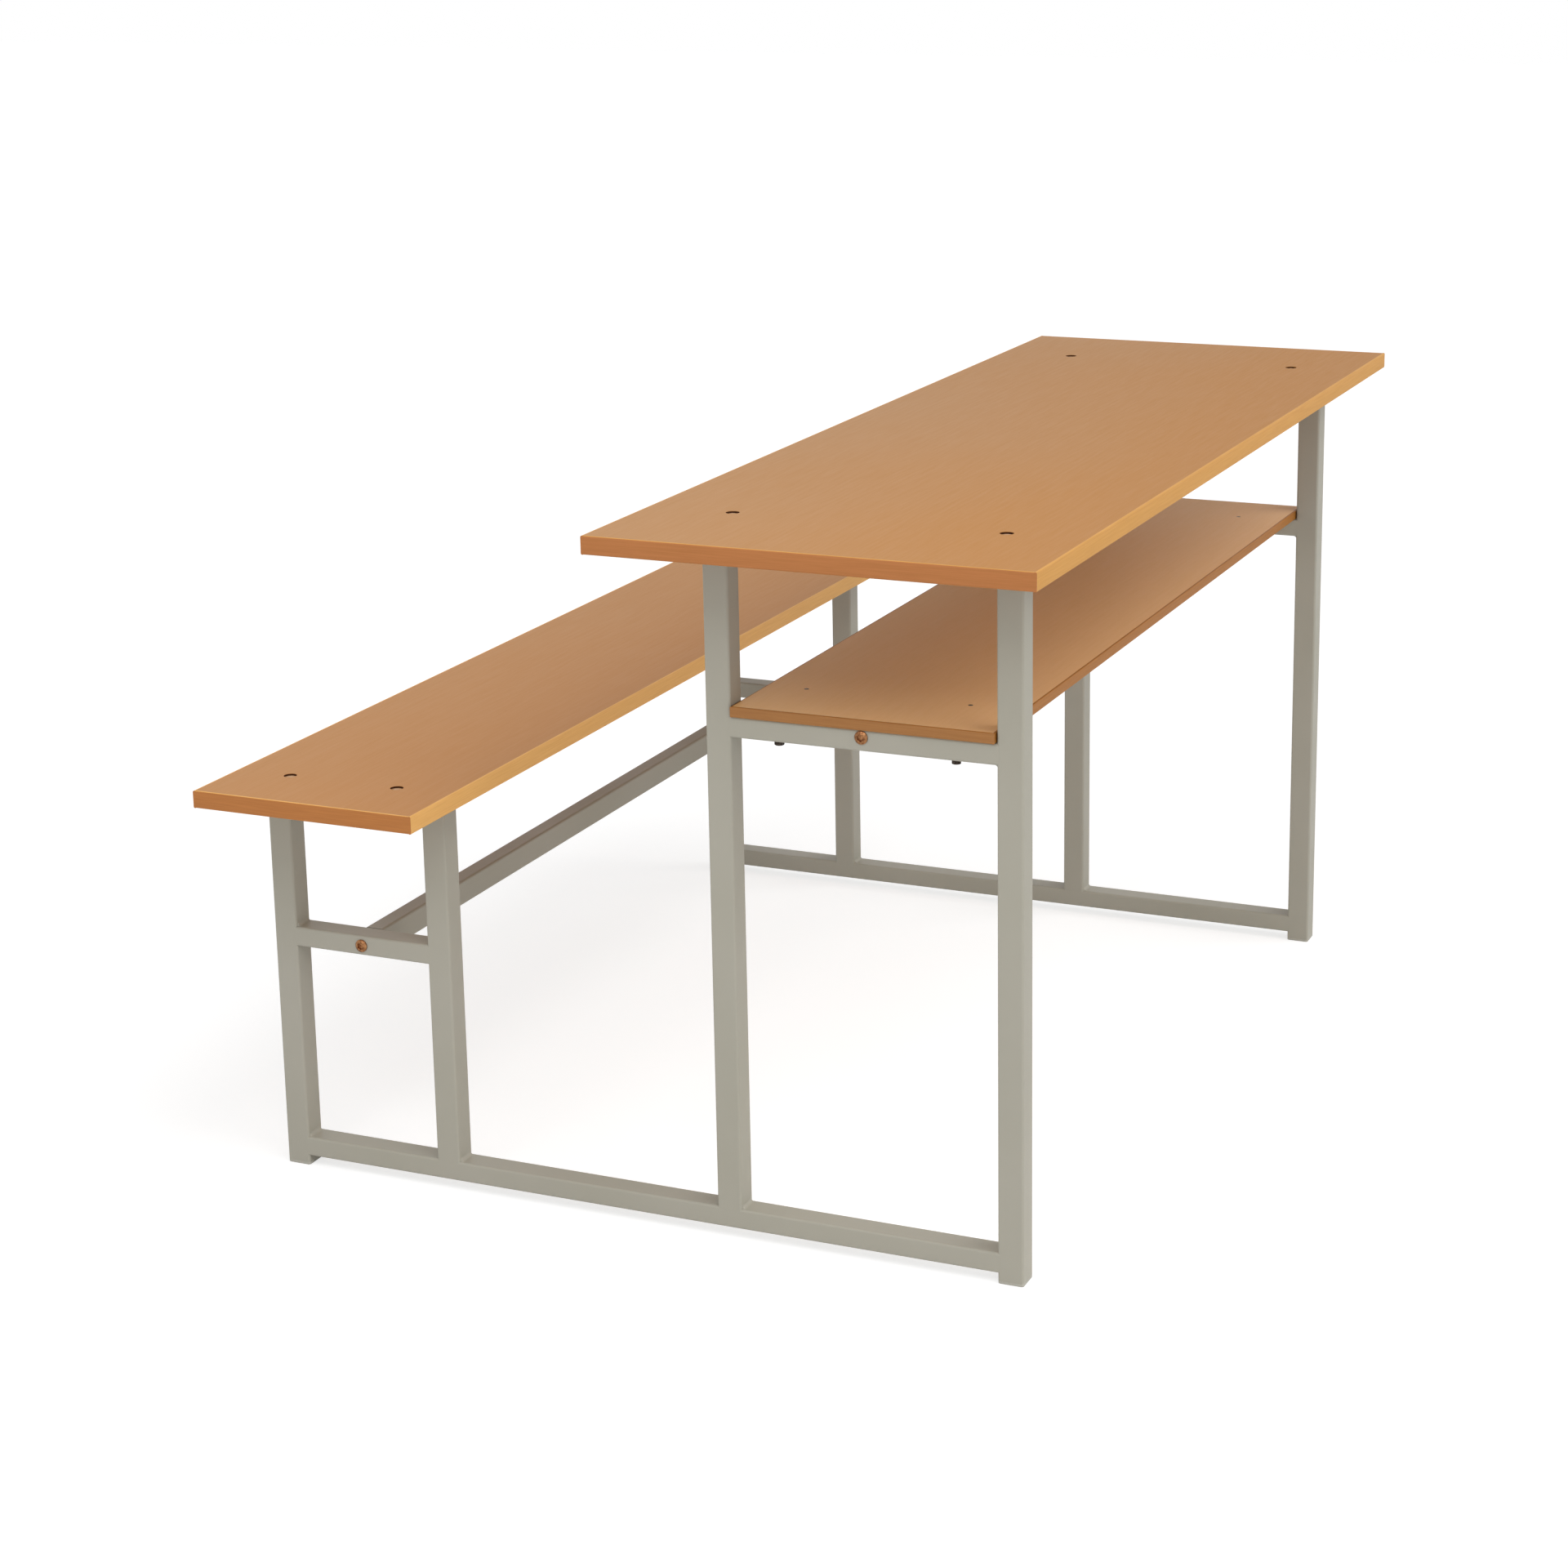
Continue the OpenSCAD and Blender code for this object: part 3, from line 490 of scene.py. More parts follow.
def edgingTree(shape):
    tree, given = newTree("edgingBand", ("Length", "Depth", "Thickness", *edgingSizes))
    wide = addNode(tree, "ShaderNodeMath", {0: given["Strip"], 1: 2}, operation="MULTIPLY")[0]
    outline = addNode(tree, "GeometryNodeCurvePrimitiveQuadrilateral", {
        "Width": wide, "Height": given["Thickness"],
    })[0]
    soft = addNode(tree, "GeometryNodeFilletCurve", {
        "Curve": outline, "Count": shape["arrisSteps"], "Radius": given["Arris"], "Limit Radius": True,
    }, mode="POLY")[0]
    # The inner half of the outline is pressed flat against the board
    place = addNode(tree, "ShaderNodeSeparateXYZ", {0: addNode(tree, "GeometryNodeInputPosition", {})[0]})
    pressed = addNode(tree, "ShaderNodeMath", {0: place[0], 1: 0}, operation="MAXIMUM")[0]
    flat = addNode(tree, "ShaderNodeCombineXYZ", {0: pressed, 1: place[1]})[0]
    section = addNode(tree, "GeometryNodeSetPosition", {"Geometry": soft, "Position": flat})[0]
    face = addNode(tree, "GeometryNodeFillCurve", {"Curve": section}, mode="NGONS")[0]
    other = addNode(tree, "GeometryNodeFlipFaces", {"Mesh": face})[0]
    inside = addNode(tree, "ShaderNodeMath", {0: given["Depth"], 1: wide}, operation="SUBTRACT")[0]
    strips = []
    for length, across, angles in ((given["Length"], given["Depth"], (0, 180)),
                                   (inside, given["Length"], (90, 270))):
        way = addNode(tree, "ShaderNodeCombineXYZ", {2: length})[0]
        grown = addNode(tree, "GeometryNodeExtrudeMesh", {
            "Mesh": face, "Offset": way, "Offset Scale": 1, "Individual": False,
        }, mode="FACES")[0]
        bar = addNode(tree, "GeometryNodeJoinGeometry", {0: [grown, other]})[0]
        bar = addNode(tree, "GeometryNodeMergeByDistance", {0: bar, "Distance": shape["mergeWithin"]})[0]
        halfLength = addNode(tree, "ShaderNodeMath", {0: length, 1: -0.5}, operation="MULTIPLY")[0]
        edge = addNode(tree, "ShaderNodeMath", {0: across, 1: 0.5}, operation="MULTIPLY")[0]
        seat = addNode(tree, "ShaderNodeMath", {0: edge, 1: given["Strip"]}, operation="SUBTRACT")[0]
        shift = addNode(tree, "ShaderNodeCombineXYZ", {0: halfLength, 1: seat})[0]
        laid = addNode(tree, "GeometryNodeTransform", {
            "Geometry": bar, "Rotation": (quarterTurn, 0, quarterTurn), "Translation": shift,
        })[0]
        for angle in angles:
            strips.append(addNode(tree, "GeometryNodeTransform", {
                "Geometry": laid, "Rotation": (0, 0, math.radians(angle)),
            })[0])
    band = addNode(tree, "GeometryNodeJoinGeometry", {0: strips})[0]
    closeTree(tree, given, band, shape["smooth"])
    return tree


bandTree = edgingTree(edgingShape)
for board in boardLooks:
    node = board + "_edging"
    low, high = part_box(node)
    length, depth, thickness = (high[i] - low[i] for i in range(3))
    middle = tuple((low[i] + high[i]) / 2 for i in range(3))
    growPiece(board + "_edging_strips", bandTree,
              dict(edgingSizes, Length=length, Depth=depth, Thickness=thickness),
              [(middle, (0, 0, 0))], absEdging(node, edgingLooks[board], edgingGrain), node)
print("edging grown")

# Bolts and screws
screwSizes = {
    "stretcherBolt": {
        "head": "domed", "recess": "hexagon",
        "Head Radius": 6.25 * mm, "Head Height": 3.5 * mm, "Dome Rise": 2.33 * mm,
        "Recess Length": 6.9 * mm, "Recess Depth": 2.4 * mm,
        "Shank Radius": 4 * mm, "Shank Length": 40 * mm, "Pitch": 1.25 * mm, "Rings": 256,
    },
    "boardScrew": {
        "head": "domed", "recess": "cross",
        "Head Radius": 5.5 * mm, "Head Height": 3 * mm, "Dome Rise": 2 * mm,
        "Recess Length": 6 * mm, "Recess Width": 1.2 * mm, "Recess Depth": 1.5 * mm,
        "Shank Radius": 3 * mm, "Shank Length": 20 * mm, "Pitch": 1 * mm, "Rings": 160,
    },
    "shelfScrew": {
        "head": "flanged", "recess": "dish",
        "Head Radius": 4.6 * mm, "Head Height": 5.6 * mm,
        "Flange Radius": 5.5 * mm, "Flange Height": 1.6 * mm,
        "Recess Length": 6 * mm, "Recess Depth": 1 * mm,
        "Shank Radius": 2 * mm, "Shank Length": 27 * mm, "Pitch": 1.4 * mm, "Rings": 154,
    },
    "shelfTopScrew": {
        "head": "countersunk", "recess": "cross",
        "Head Radius": 2.3 * mm, "Head Height": 1.05 * mm,
        "Recess Length": 2.6 * mm, "Recess Width": 0.6 * mm, "Recess Depth": 0.8 * mm,
        "Shank Radius": 1.25 * mm, "Shank Length": 16 * mm, "Pitch": 1.1 * mm, "Rings": 116,
    },
}
screwShape = {
    "headSides": 48,
    "domeRings": 64,
    "ballWidth": 1.6,         # of the ball that turns a hexagon's corners off, as shares of the head
    "ballHeight": 1.175,
    "ballSides": 48,
    "ballRings": 47,
    "flangeSides": 47,
    "mouths": {"hexagon": (1.22, 0.76), "cross": (0.62, 0.3), "dish": (1, 0.75)},
    "mouthDepth": 0.6,        # share of the recess's depth
    "mouthSink": 0.98,
    "mouthSides": 32,
    "shankSides": 24,
    "smooth": 35,
}


def screwHead(tree, given, kind, shape):
    if kind == "domed":
        # The ball goes through the rim and the top: its radius is (r * r / rise + rise) / 2
        rise = given["Dome Rise"]
        square = addNode(tree, "ShaderNodeMath", {0: given["Head Radius"], 1: 2}, operation="POWER")[0]
        over = addNode(tree, "ShaderNodeMath", {0: square, 1: rise}, operation="DIVIDE")[0]
        double = addNode(tree, "ShaderNodeMath", {0: over, 1: rise}, operation="ADD")[0]
        ballRadius = addNode(tree, "ShaderNodeMath", {0: double, 1: 0.5}, operation="MULTIPLY")[0]
        return domedDisc(tree, given["Head Radius"], given["Head Height"], ballRadius,
                         shape["headSides"], shape["domeRings"])
    if kind == "flanged":
        hexagon = turnedHexagon(tree, given["Head Radius"], given["Head Height"], 0.5, shape)
        flange = addNode(tree, "GeometryNodeMeshCone", {
            "Vertices": shape["flangeSides"], "Radius Top": given["Head Radius"],
            "Radius Bottom": given["Flange Radius"], "Depth": given["Flange Height"],
        })["Mesh"]
        return addNode(tree, "GeometryNodeMeshBoolean", {"Mesh 2": [hexagon, flange]}, **joined)[0]
    cone = addNode(tree, "GeometryNodeMeshCone", {
        "Vertices": shape["headSides"], "Radius Top": given["Head Radius"],
        "Radius Bottom": given["Shank Radius"], "Depth": given["Head Height"],
    })["Mesh"]
    return lifted(tree, cone, given["Head Height"], -1)


def recessCuts(tree, given, kind, shape):
    # Straight walls, and a countersunk mouth that the punch leaves. A dish has only the mouth.
    twice = addNode(tree, "ShaderNodeMath", {0: given["Recess Depth"], 1: 2}, operation="MULTIPLY")[0]
    halfArm = addNode(tree, "ShaderNodeMath", {0: given["Recess Length"], 1: 0.5}, operation="MULTIPLY")[0]
    cuts = []
    if kind == "hexagon":
        cuts.append(addNode(tree, "GeometryNodeMeshCylinder", {
            "Vertices": 6, "Radius": halfArm, "Depth": twice,
        })["Mesh"])
    elif kind == "cross":
        for x, y in (("Recess Length", "Recess Width"), ("Recess Width", "Recess Length")):
            arm = addNode(tree, "ShaderNodeCombineXYZ", {0: given[x], 1: given[y], 2: twice})[0]
            cuts.append(addNode(tree, "GeometryNodeMeshCube", {"Size": arm})["Mesh"])
    # A mouth's radius at its top and its bottom, as shares of half the recess's length
    top, low = (addNode(tree, "ShaderNodeMath", {0: halfArm, 1: share}, operation="MULTIPLY")[0]
                for share in shape["mouths"][kind])
    deep = addNode(tree, "ShaderNodeMath", {0: given["Recess Depth"], 1: shape["mouthDepth"]},
                   operation="MULTIPLY")[0]
    mouth = addNode(tree, "GeometryNodeMeshCone", {
        "Vertices": shape["mouthSides"], "Radius Top": top, "Radius Bottom": low, "Depth": deep,
    })["Mesh"]
    return [*cuts, lifted(tree, mouth, deep, -shape["mouthSink"])]


def threadedShank(tree, given, shape):
    # The thread narrows the shank along a helix: z / pitch less the share of a turn
    shank = addNode(tree, "GeometryNodeMeshCylinder", {
        "Vertices": shape["shankSides"], "Side Segments": given["Rings"],
        "Radius": given["Shank Radius"], "Depth": given["Shank Length"],
    })["Mesh"]
    where = addNode(tree, "GeometryNodeInputPosition", {})[0]
    place = addNode(tree, "ShaderNodeSeparateXYZ", {0: where})
    angle = addNode(tree, "ShaderNodeMath", {0: place[1], 1: place[0]}, operation="ARCTAN2")[0]
    share = addNode(tree, "ShaderNodeMath", {0: angle, 1: 2 * math.pi}, operation="DIVIDE")[0]
    rows = addNode(tree, "ShaderNodeMath", {0: place[2], 1: given["Pitch"]}, operation="DIVIDE")[0]
    phase = addNode(tree, "ShaderNodeMath", {0: rows, 1: share}, operation="SUBTRACT")[0]
    groove = addNode(tree, "ShaderNodeMath", {0: phase, 1: 0.5}, operation="PINGPONG")[0]
    slope = addNode(tree, "ShaderNodeMath", {0: given["Pitch"], 1: given["Shank Radius"]},
                    operation="DIVIDE")[0]
    cutIn = addNode(tree, "ShaderNodeMath", {0: groove, 1: slope}, operation="MULTIPLY")[0]
    narrow = addNode(tree, "ShaderNodeMath", {0: 1, 1: cutIn}, operation="SUBTRACT")[0]
    scaled = addNode(tree, "ShaderNodeCombineXYZ", {0: narrow, 1: narrow, 2: 1})[0]
    after = addNode(tree, "ShaderNodeVectorMath", {0: where, 1: scaled}, operation="MULTIPLY")[0]
    shank = addNode(tree, "GeometryNodeSetPosition", {"Geometry": shank, "Position": after})[0]
    return lifted(tree, shank, given["Shank Length"], -0.5)


def screwTree(name, screw, shape):
    # Stands with its seat on z = 0 and its shank down. A countersunk head has its face there instead.
    sizes = [size for size, value in screw.items() if isinstance(value, float)]
    tree, given = newTree(name, sizes, ["Rings"])
    head = screwHead(tree, given, screw["head"], shape)
    headTop = 0 if screw["head"] == "countersunk" else given["Head Height"]
    for cut in recessCuts(tree, given, screw["recess"], shape):
        raised = lifted(tree, cut, headTop)
        head = addNode(tree, "GeometryNodeMeshBoolean", {"Mesh 1": head, "Mesh 2": raised}, **without)[0]
    both = addNode(tree, "GeometryNodeJoinGeometry", {0: [head, threadedShank(tree, given, shape)]})[0]
    closeTree(tree, given, both, shape["smooth"], spin=math.pi)
    return tree


screwTrees = {name: screwTree(name, screw, screwShape) for name, screw in screwSizes.items()}
for node in ("seat_stretcher_bolts", "shelf_stretcher_bolts"):
    low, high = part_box(node)
    y, z = (low[1] + high[1]) / 2, (low[2] + high[2]) / 2
    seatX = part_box("right_bottom_rail")[1][0]
    places = [((seatX, y, z), (0, quarterTurn, 0)), ((-seatX, y, z), (0, -quarterTurn, 0))]
    growPiece(node + "_socket_head", screwTrees["stretcherBolt"], screwSizes["stretcherBolt"], places,
              small["yellowZincSteel"], node)
for node in ("seat_screws", "desk_top_screws"):
    screw = screwSizes["boardScrew"]
    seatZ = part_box(node)[0][2] + screw["Shank Length"]
    growPiece(node + "_cross_head", screwTrees["boardScrew"], screw,
              boxCorners(node, screw["Head Radius"], seatZ), small["clearZincSteel"], node)
screw = screwSizes["shelfScrew"]
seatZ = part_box("shelf_screws")[0][2] + screw["Head Height"]
growPiece("shelf_screws_flanged_head", screwTrees["shelfScrew"], screw,
          boxCorners("shelf_screws", screw["Flange Radius"], seatZ, (math.pi, 0, 0)),
          small["blackOxideSteel"], "shelf_screws")
screw = screwSizes["shelfTopScrew"]
growPiece("shelf_top_screws_countersunk", screwTrees["shelfTopScrew"], screw,
          boxCorners("shelf_top_screws", screw["Head Radius"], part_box("shelf_top_screws")[1][2]),
          small["blackOxideSteel"], "shelf_top_screws")
print("bolts and screws grown")

# Nuts under the boards, and the caps that cover the screws
nutSizes = {"Corner Radius": 5.75 * mm, "Height": 5 * mm, "Bore Radius": 3.05 * mm}
nutShape = {
    "ballWidth": 1.06,        # as shares of the nut
    "ballHeight": 0.875,
    "ballSides": 48,
    "ballRings": 32,
    "boreSides": 32,
    "smooth": 25,
}
capSizes = {
    "Cap Radius": 6.25 * mm, "Cap Height": 5.8 * mm, "Dome Radius": 24.8 * mm,
    "Pocket Radius": 5.65 * mm, "Pocket Height": 3.15 * mm,
}
capShape = {
    "sides": 64,
    "domeRings": 96,
    "rimBall": 1.15,          # radius, as a share of the cap's radius
    "rimDrop": 0.755,         # how far under the cap's top its middle lies, as a share of the same
    "rimRings": 64,
    "gateBall": 0.5,          # radius, as a share of the cap's height
    "gateLift": 1.47,
    "gateSides": 24,
    "smooth": 30,
}


def nutTree(shape):
    tree, given = newTree("hexagonNut", nutSizes)
    height = given["Height"]
    nut = turnedHexagon(tree, given["Corner Radius"], height, 0, shape)
    double = addNode(tree, "ShaderNodeMath", {0: height, 1: 2}, operation="MULTIPLY")[0]
    bore = addNode(tree, "GeometryNodeMeshCylinder", {
        "Vertices": shape["boreSides"], "Radius": given["Bore Radius"], "Depth": double,
    })["Mesh"]
    nut = addNode(tree, "GeometryNodeMeshBoolean", {"Mesh 1": nut, "Mesh 2": bore}, **without)[0]
    closeTree(tree, given, lifted(tree, nut, height, -0.5), shape["smooth"], spin=math.pi)
    return tree


def capTree(shape):
    tree, given = newTree("coverCap", capSizes)
    radius, height = given["Cap Radius"], given["Cap Height"]
    cap = domedDisc(tree, radius, height, given["Dome Radius"], shape["sides"], shape["domeRings"])
    # A smaller ball rounds the rim
    rimRadius = addNode(tree, "ShaderNodeMath", {0: radius, 1: shape["rimBall"]}, operation="MULTIPLY")[0]
    rimDown = addNode(tree, "ShaderNodeMath", {0: radius, 1: -shape["rimDrop"]}, operation="MULTIPLY")[0]
    rimZ = addNode(tree, "ShaderNodeMath", {0: height, 1: rimDown}, operation="ADD")[0]
    rim = addNode(tree, "GeometryNodeMeshUVSphere", {
        "Segments": shape["sides"], "Rings": shape["rimRings"], "Radius": rimRadius,
    })["Mesh"]
    rim = lifted(tree, rim, rimZ)
    cap = addNode(tree, "GeometryNodeMeshBoolean", {"Mesh 2": [cap, rim]}, **common)[0]
    double = addNode(tree, "ShaderNodeMath", {0: given["Pocket Height"], 1: 2}, operation="MULTIPLY")[0]
    pocket = addNode(tree, "GeometryNodeMeshCylinder", {
        "Vertices": shape["sides"], "Radius": given["Pocket Radius"], "Depth": double,
    })["Mesh"]
    # The gate of the mould leaves a shallow dimple in the middle
    gateRadius = addNode(tree, "ShaderNodeMath", {0: height, 1: shape["gateBall"]}, operation="MULTIPLY")[0]
    gate = addNode(tree, "GeometryNodeMeshUVSphere", {
        "Segments": shape["gateSides"], "Rings": shape["gateSides"], "Radius": gateRadius,
    })["Mesh"]
    gate = lifted(tree, gate, height, shape["gateLift"])
    for cut in (pocket, gate):
        cap = addNode(tree, "GeometryNodeMeshBoolean", {"Mesh 1": cap, "Mesh 2": cut}, **without)[0]
    closeTree(tree, given, cap, shape["smooth"], spin=math.pi)
    return tree


hexTree = nutTree(nutShape)
coverTree = capTree(capShape)
for board in ("seat", "desk_top"):
    nuts, caps = board + "_screw_nuts", board + "_screw_caps"
    # A hexagon's box isn't square, so the nuts take their places from the screws
    screws = board + "_screws"
    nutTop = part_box(nuts)[1][2]
    growPiece(nuts + "_chamfered", hexTree, nutSizes,
              boxCorners(screws, screwSizes["boardScrew"]["Head Radius"], nutTop),
              small["clearZincSteel"], nuts)
    growPiece(caps + "_rounded", coverTree, capSizes,
              boxCorners(caps, capSizes["Cap Radius"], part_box(caps)[0][2]),
              small["polyetheneCap"], caps)
print("nuts and caps grown")

# Weld beads
beadSizes = {"Length": 20 * mm, "Leg": 4.3 * mm, "Ripple": 2.1 * mm}
beadShape = {
    "around": 13,
    "along": 61,
    "rippleDepth": 0.07,      # share of the bead's thickness
    "crescent": 0.5 * mm,     # how far a ripple's ends lag behind its middle
    "endFall": 0.94,          # share of the length over which the bead is full
    "mergeWithin": 0.002 * mm,
    "smooth": 60,
    "swell": 0.12,            # how much thinner one bead may be than another
}
# Each bead is a leg, the side of it, and the rail whose top or underside it joins
beadJoints = [
    ("bench_rear_leg", "front", "bottom_rail", "top"),
    ("bench_front_leg", "front", "bottom_rail", "top"),
    ("desk_rear_leg", "front", "bottom_rail", "top"),
    ("bench_rear_leg", "front", "bench_cross_rail", "top"),
    ("desk_front_leg", "rear", "desk_cross_rail", "under"),
    ("bench_rear_leg", "front", "bench_top_rail", "under"),
    ("bench_front_leg", "rear", "bench_top_rail", "under"),
    ("desk_rear_leg", "front", "desk_top_rail", "under"),
    ("desk_front_leg", "rear", "desk_top_rail", "under"),
]
beadTurns = {("front", "top"): 0, ("rear", "top"): 90, ("rear", "under"): 180, ("front", "under"): 270}


def beadTree(shape):
    # A hollow fillet along X in the corner of Y and Z, made from a grid that is bent round it.
    # Rows are crescents that the torch leaves, and both ends run out to nothing.
    tree, given = newTree("weldBead", beadSizes)
    grid = addNode(tree, "GeometryNodeMeshGrid", {
        "Size X": 1, "Size Y": 1, "Vertices X": shape["around"], "Vertices Y": shape["along"],
    })["Mesh"]
    place = addNode(tree, "ShaderNodeSeparateXYZ", {0: addNode(tree, "GeometryNodeInputPosition", {})[0]})
    step = 1 / (shape["around"] - 1)
    sweep = addNode(tree, "ShaderNodeMapRange", {
        "Value": place[0], "From Min": step - 0.5, "From Max": 0.5 - step,
        "To Min": 3 * quarterTurn, "To Max": 2 * quarterTurn,
    })[0]
    # The two outermost lines of points stay in the corner, which closes the bead
    fromMiddle = addNode(tree, "ShaderNodeMath", {0: place[0]}, operation="ABSOLUTE")[0]
    isSkin = addNode(tree, "ShaderNodeMath", {0: fromMiddle, 1: 0.5 - step / 2}, operation="LESS_THAN")[0]
    bowed = addNode(tree, "ShaderNodeMath", {0: place[0], 1: 2}, operation="POWER")[0]
    lag = addNode(tree, "ShaderNodeMath", {0: bowed, 1: 4 * shape["crescent"]}, operation="MULTIPLY")[0]
    along = addNode(tree, "ShaderNodeMath", {0: place[1], 1: given["Length"]}, operation="MULTIPLY")[0]
    lagged = addNode(tree, "ShaderNodeMath", {0: along, 1: lag}, operation="ADD")[0]
    rows = addNode(tree, "ShaderNodeMath", {0: lagged, 1: given["Ripple"]}, operation="DIVIDE")[0]
    ripple = addNode(tree, "ShaderNodeMath", {0: rows}, operation="FRACT")[0]
    hollow = addNode(tree, "ShaderNodeMath", {0: ripple, 1: shape["rippleDepth"]}, operation="MULTIPLY")[0]
    full = addNode(tree, "ShaderNodeMath", {0: 1, 1: hollow}, operation="SUBTRACT")[0]
    outward = addNode(tree, "ShaderNodeMath", {0: place[1]}, operation="ABSOLUTE")[0]
    ends = addNode(tree, "ShaderNodeMapRange", {
        "Value": outward, "From Min": 0.5 * shape["endFall"], "From Max": 0.5, "To Min": 1, "To Max": 0,
    })[0]
    rounded = addNode(tree, "ShaderNodeMath", {0: ends, 1: 0.5}, operation="POWER")[0]
    size = addNode(tree, "ShaderNodeMath", {0: full, 1: rounded}, operation="MULTIPLY")[0]
    size = addNode(tree, "ShaderNodeMath", {0: size, 1: isSkin}, operation="MULTIPLY")[0]
    reach = addNode(tree, "ShaderNodeMath", {0: size, 1: given["Leg"]}, operation="MULTIPLY")[0]
    sides = []
    for operation in ("COSINE", "SINE"):
        wave = addNode(tree, "ShaderNodeMath", {0: sweep}, operation=operation)[0]
        side = addNode(tree, "ShaderNodeMath", {0: wave, 1: 1}, operation="ADD")[0]
        sides.append(addNode(tree, "ShaderNodeMath", {0: side, 1: reach}, operation="MULTIPLY")[0])
    bent = addNode(tree, "ShaderNodeCombineXYZ", {0: along, 1: sides[0], 2: sides[1]})[0]
    bead = addNode(tree, "GeometryNodeSetPosition", {"Geometry": grid, "Position": bent})[0]
    bead = addNode(tree, "GeometryNodeMergeByDistance", {0: bead, "Distance": shape["mergeWithin"]})[0]
    closeTree(tree, given, bead, shape["smooth"], swell=shape["swell"])
    return tree


fusedTree = beadTree(beadShape)
for side in ("right", "left"):
    places = []
    for leg, legSide, rail, railSide in beadJoints:
        legLow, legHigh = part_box(f"{side}_{leg}")
        railLow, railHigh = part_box(f"{side}_{rail}")
        x = (legLow[0] + legHigh[0]) / 2
        y = legHigh[1] if legSide == "front" else legLow[1]
        z = railHigh[2] if railSide == "top" else railLow[2]
        places.append(((x, y, z), (math.radians(beadTurns[legSide, railSide]), 0, 0)))
    growPiece(side + "_weld_beads_rippled", fusedTree, beadSizes, places, coat,
              side + "_weld_beads")
print("weld beads grown")

# Feet, moulded plugs in the outer uprights
footShape = {
    "halfWidth": 12.5 * mm,
    "cornerRadius": 2.5 * mm,
    "leastRadius": 0.2 * mm,
    "cornerSteps": 6,
    "smooth": 40,
    # Height and half width of each ring in mm, from the middle of the sole, over the flange and into the cup
    "rings": [(0.8, 7.6), (0.8, 8.0), (0.5, 8.5), (0, 8.8), (0, 11.6), (0.2, 12.1), (0.6, 12.4),
              (1.1, 12.5), (2.7, 12.5), (3.0, 12.25), (3.0, 11.2), (20, 11.2), (21, 10.9), (21, 9.1),
              (20.4, 8.8), (5, 8.8), (5, 8.4)],
}


def squareRing(middle, z, half, shape):
    # Rounded square, anticlockwise from above
    radius = max(shape["leastRadius"], shape["cornerRadius"] - (shape["halfWidth"] - half))
    points = []
    for corner in range(4):
        start = corner * quarterTurn
        cx = middle[0] + math.copysign(half - radius, math.cos(start + quarterTurn / 2))
        cy = middle[1] + math.copysign(half - radius, math.sin(start + quarterTurn / 2))
        for i in range(shape["cornerSteps"] + 1):
            angle = start + quarterTurn * i / shape["cornerSteps"]
            points.append((cx + radius * math.cos(angle), cy + radius * math.sin(angle), z))
    return points


def addFoot(node, shape):
    low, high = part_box(node)
    middle = ((low[0] + high[0]) / 2, (low[1] + high[1]) / 2)
    shell = bmesh.new()
    rings = [[shell.verts.new(point) for point in squareRing(middle, z * mm, half * mm, shape)]
             for z, half in shape["rings"]]
    count = len(rings[0])
    for inner, outer in zip(rings, rings[1:]):
        for i in range(count):
            shell.faces.new((inner[i], outer[i], outer[(i + 1) % count], inner[(i + 1) % count]))
    shell.faces.new(rings[0])
    shell.faces.new(list(reversed(rings[-1])))
    bmesh.ops.recalc_face_normals(shell, faces=shell.faces)
    mesh = bpy.data.meshes.new(node + "_moulded")
    shell.to_mesh(mesh)
    shell.free()
    mesh.shade_smooth()
    mesh.set_sharp_from_angle(angle=math.radians(shape["smooth"]))
    mesh.materials.append(small["polypropyleneFoot"])
    foot = bpy.data.objects.new(node + "_moulded", mesh)
    bpy.context.scene.collection.objects.link(foot)
    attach(foot, "root")
    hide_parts(node)


for side in ("right", "left"):
    for end in ("rear", "front"):
        addFoot(f"{side}_{end}_foot", footShape)
print("feet moulded")

# Floor, sky and lights
stageLook = {
    "floorSize": 30,
    "floorColour": "F3F3F3",
    "seenColour": "B4B4B4",
    "seenLift": 0.68,
    "horizon": 1.3,
    "zenith": 0,
}
sunLook = {"towards": (0, 0.65, 0.75), "strength": 1.5, "spread": 50}
boxLook = {"place": (1.7, 0.2, 2.2), "target": (0.3, 0, 0.4), "size": 1.4, "power": 19.8}


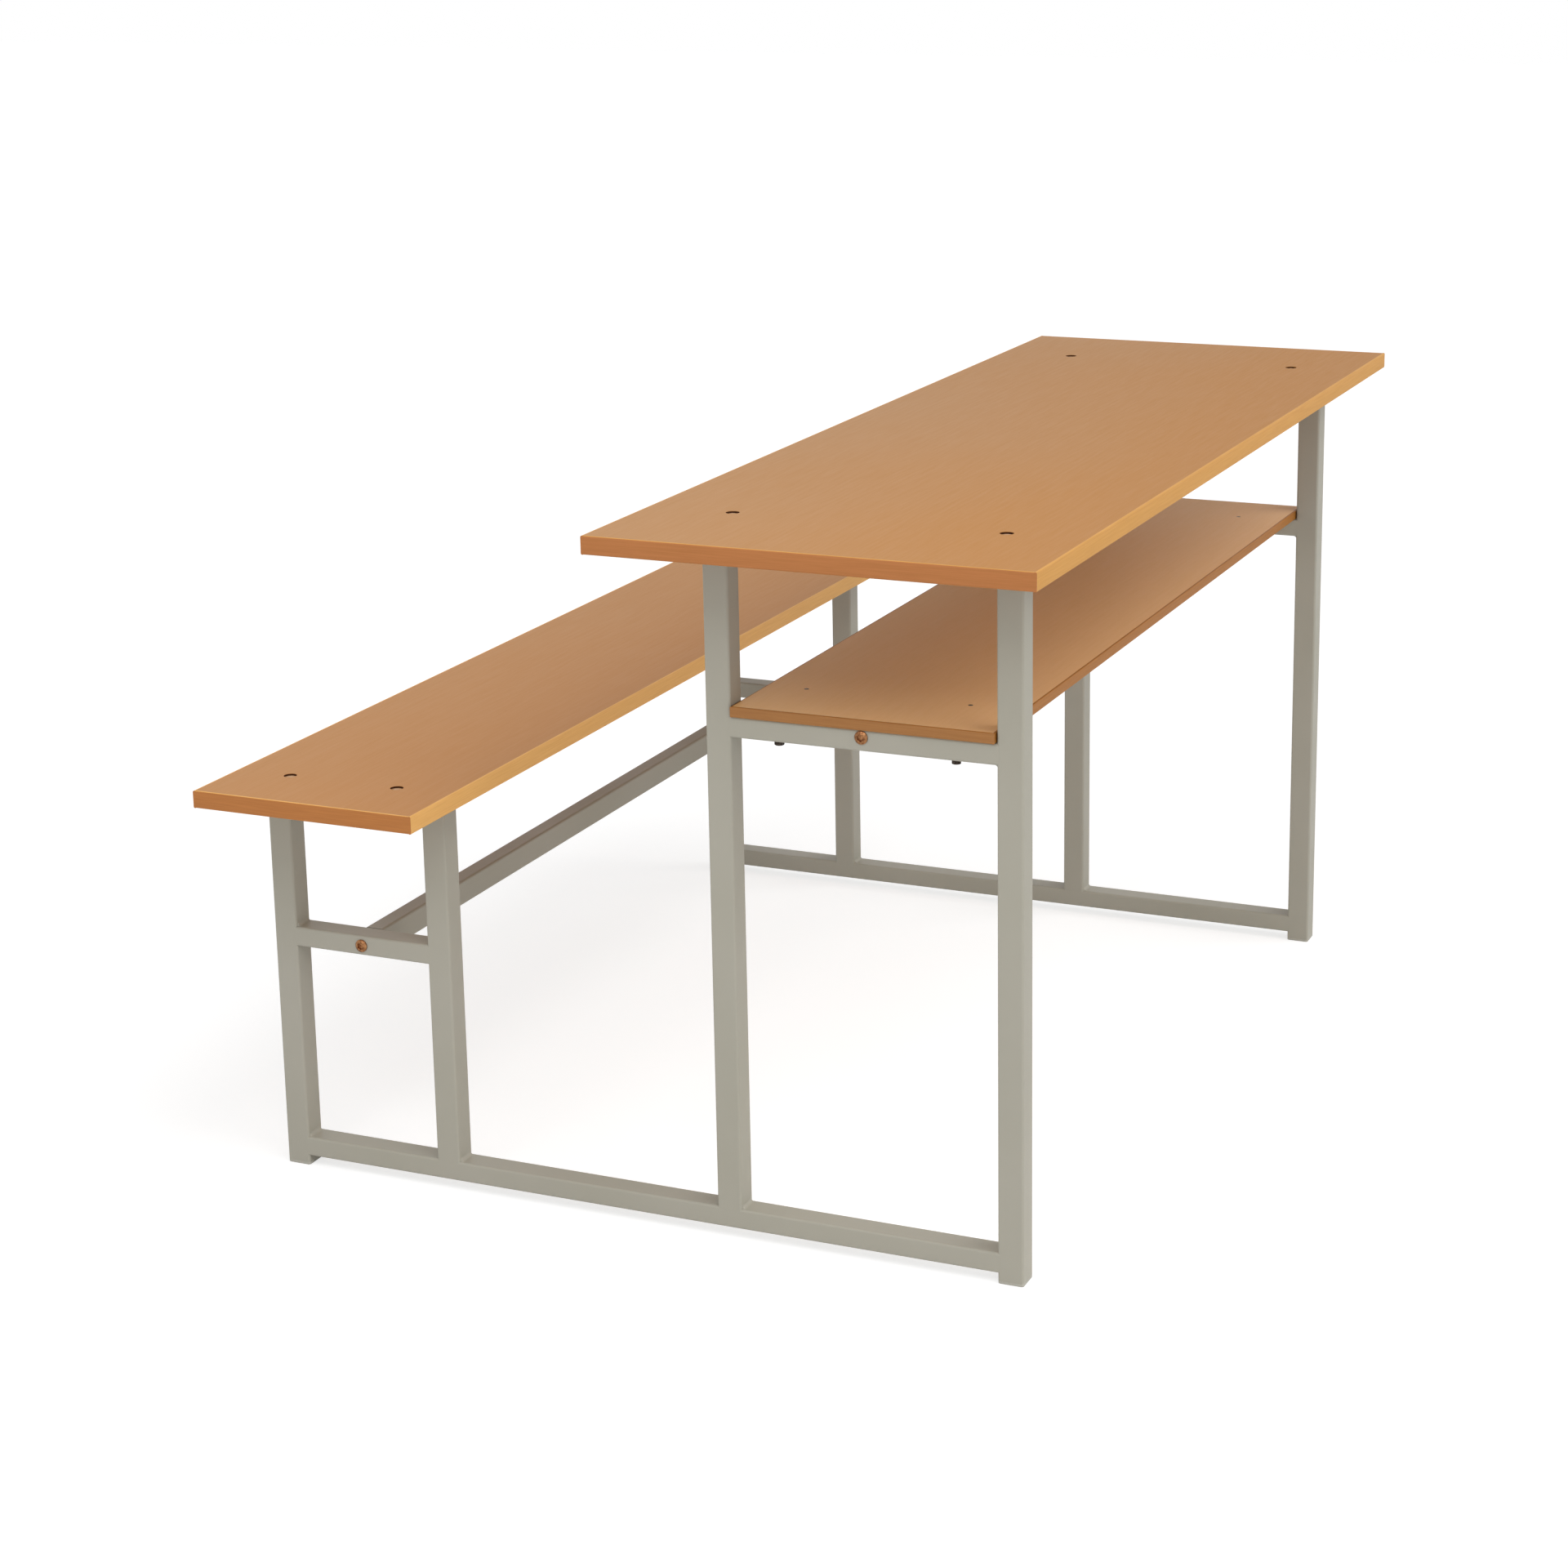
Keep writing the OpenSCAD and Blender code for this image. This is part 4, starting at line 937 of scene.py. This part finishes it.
def addFloor(look):
    half = look["floorSize"] / 2
    mesh = bpy.data.meshes.new("floor")
    mesh.from_pydata([(-half, -half, 0), (half, -half, 0), (half, half, 0), (-half, half, 0)], [],
                     [(0, 1, 2, 3)])
    floor = bpy.data.objects.new("floor", mesh)
    bpy.context.scene.collection.objects.link(floor)
    finish, tree = newFinish("paleStudioFloor")[:2]
    # Matt white paint for the light that it sends back. The camera sees it white with a faint shadow.
    paint = addNode(tree, "ShaderNodeBsdfDiffuse", {"Color": linear(look["floorColour"])})[0]
    shade = addNode(tree, "ShaderNodeBsdfDiffuse", {"Color": linear(look["seenColour"])})[0]
    glow = addNode(tree, "ShaderNodeEmission", {"Strength": look["seenLift"]})[0]
    seen = addNode(tree, "ShaderNodeAddShader", {0: shade, 1: glow})[0]
    isSeen = addNode(tree, "ShaderNodeLightPath", {})["Is Camera Ray"]
    both = addNode(tree, "ShaderNodeMixShader", {0: isSeen, 1: paint, 2: seen})[0]
    addNode(tree, "ShaderNodeOutputMaterial", {"Surface": both})
    mesh.materials.append(finish)


def addSky(look):
    # A soft sky, bright at the horizon, lights the object. The camera, gloss and glass see white.
    world = bpy.data.worlds.new("studio")
    bpy.context.scene.world = world
    world.use_nodes = True
    tree = world.node_tree
    tree.nodes.clear()
    rays = addNode(tree, "ShaderNodeLightPath", {})
    either = addNode(tree, "ShaderNodeMath", {0: rays["Is Camera Ray"], 1: rays["Is Glossy Ray"]},
                     operation="MAXIMUM")[0]
    seen = addNode(tree, "ShaderNodeMath", {0: either, 1: rays["Is Transmission Ray"]},
                   operation="MAXIMUM")[0]
    way = addNode(tree, "ShaderNodeTexCoord", {})["Generated"]
    height = addNode(tree, "ShaderNodeSeparateXYZ", {0: way})[2]
    lit = addNode(tree, "ShaderNodeMapRange", {
        "Value": height, "From Min": 0, "From Max": 1, "To Min": look["horizon"], "To Max": look["zenith"],
    })[0]
    strength = addNode(tree, "ShaderNodeMapRange", {
        "Value": seen, "From Min": 0, "From Max": 1, "To Min": lit, "To Max": 1,
    })[0]
    light = addNode(tree, "ShaderNodeBackground", {"Color": (1, 1, 1, 1), "Strength": strength})[0]
    addNode(tree, "ShaderNodeOutputWorld", {"Surface": light})


def addLight(name, kind, back):
    # A light shines against its own Z, so that Z is turned back along the rays
    light = bpy.data.objects.new(name, bpy.data.lights.new(name, kind))
    bpy.context.scene.collection.objects.link(light)
    light.rotation_euler = back.to_track_quat("Z", "Y").to_euler()
    return light


def addSun(look):
    sun = addLight("sun", "SUN", Vector(look["towards"]))
    sun.data.energy = look["strength"]
    sun.data.angle = math.radians(look["spread"])


def addSoftBox(look):
    # Stands over the near end, so that the far end is a little darker
    box = addLight("softBox", "AREA", Vector(look["place"]) - Vector(look["target"]))
    box.data.energy = look["power"]
    box.data.size = look["size"]
    box.location = look["place"]
    box.visible_camera = False


addFloor(stageLook)
addSky(stageLook)
addSun(sunLook)
addSoftBox(boxLook)
bpy.context.scene.view_settings.view_transform = "Standard"
print("floor, sky and lights set")
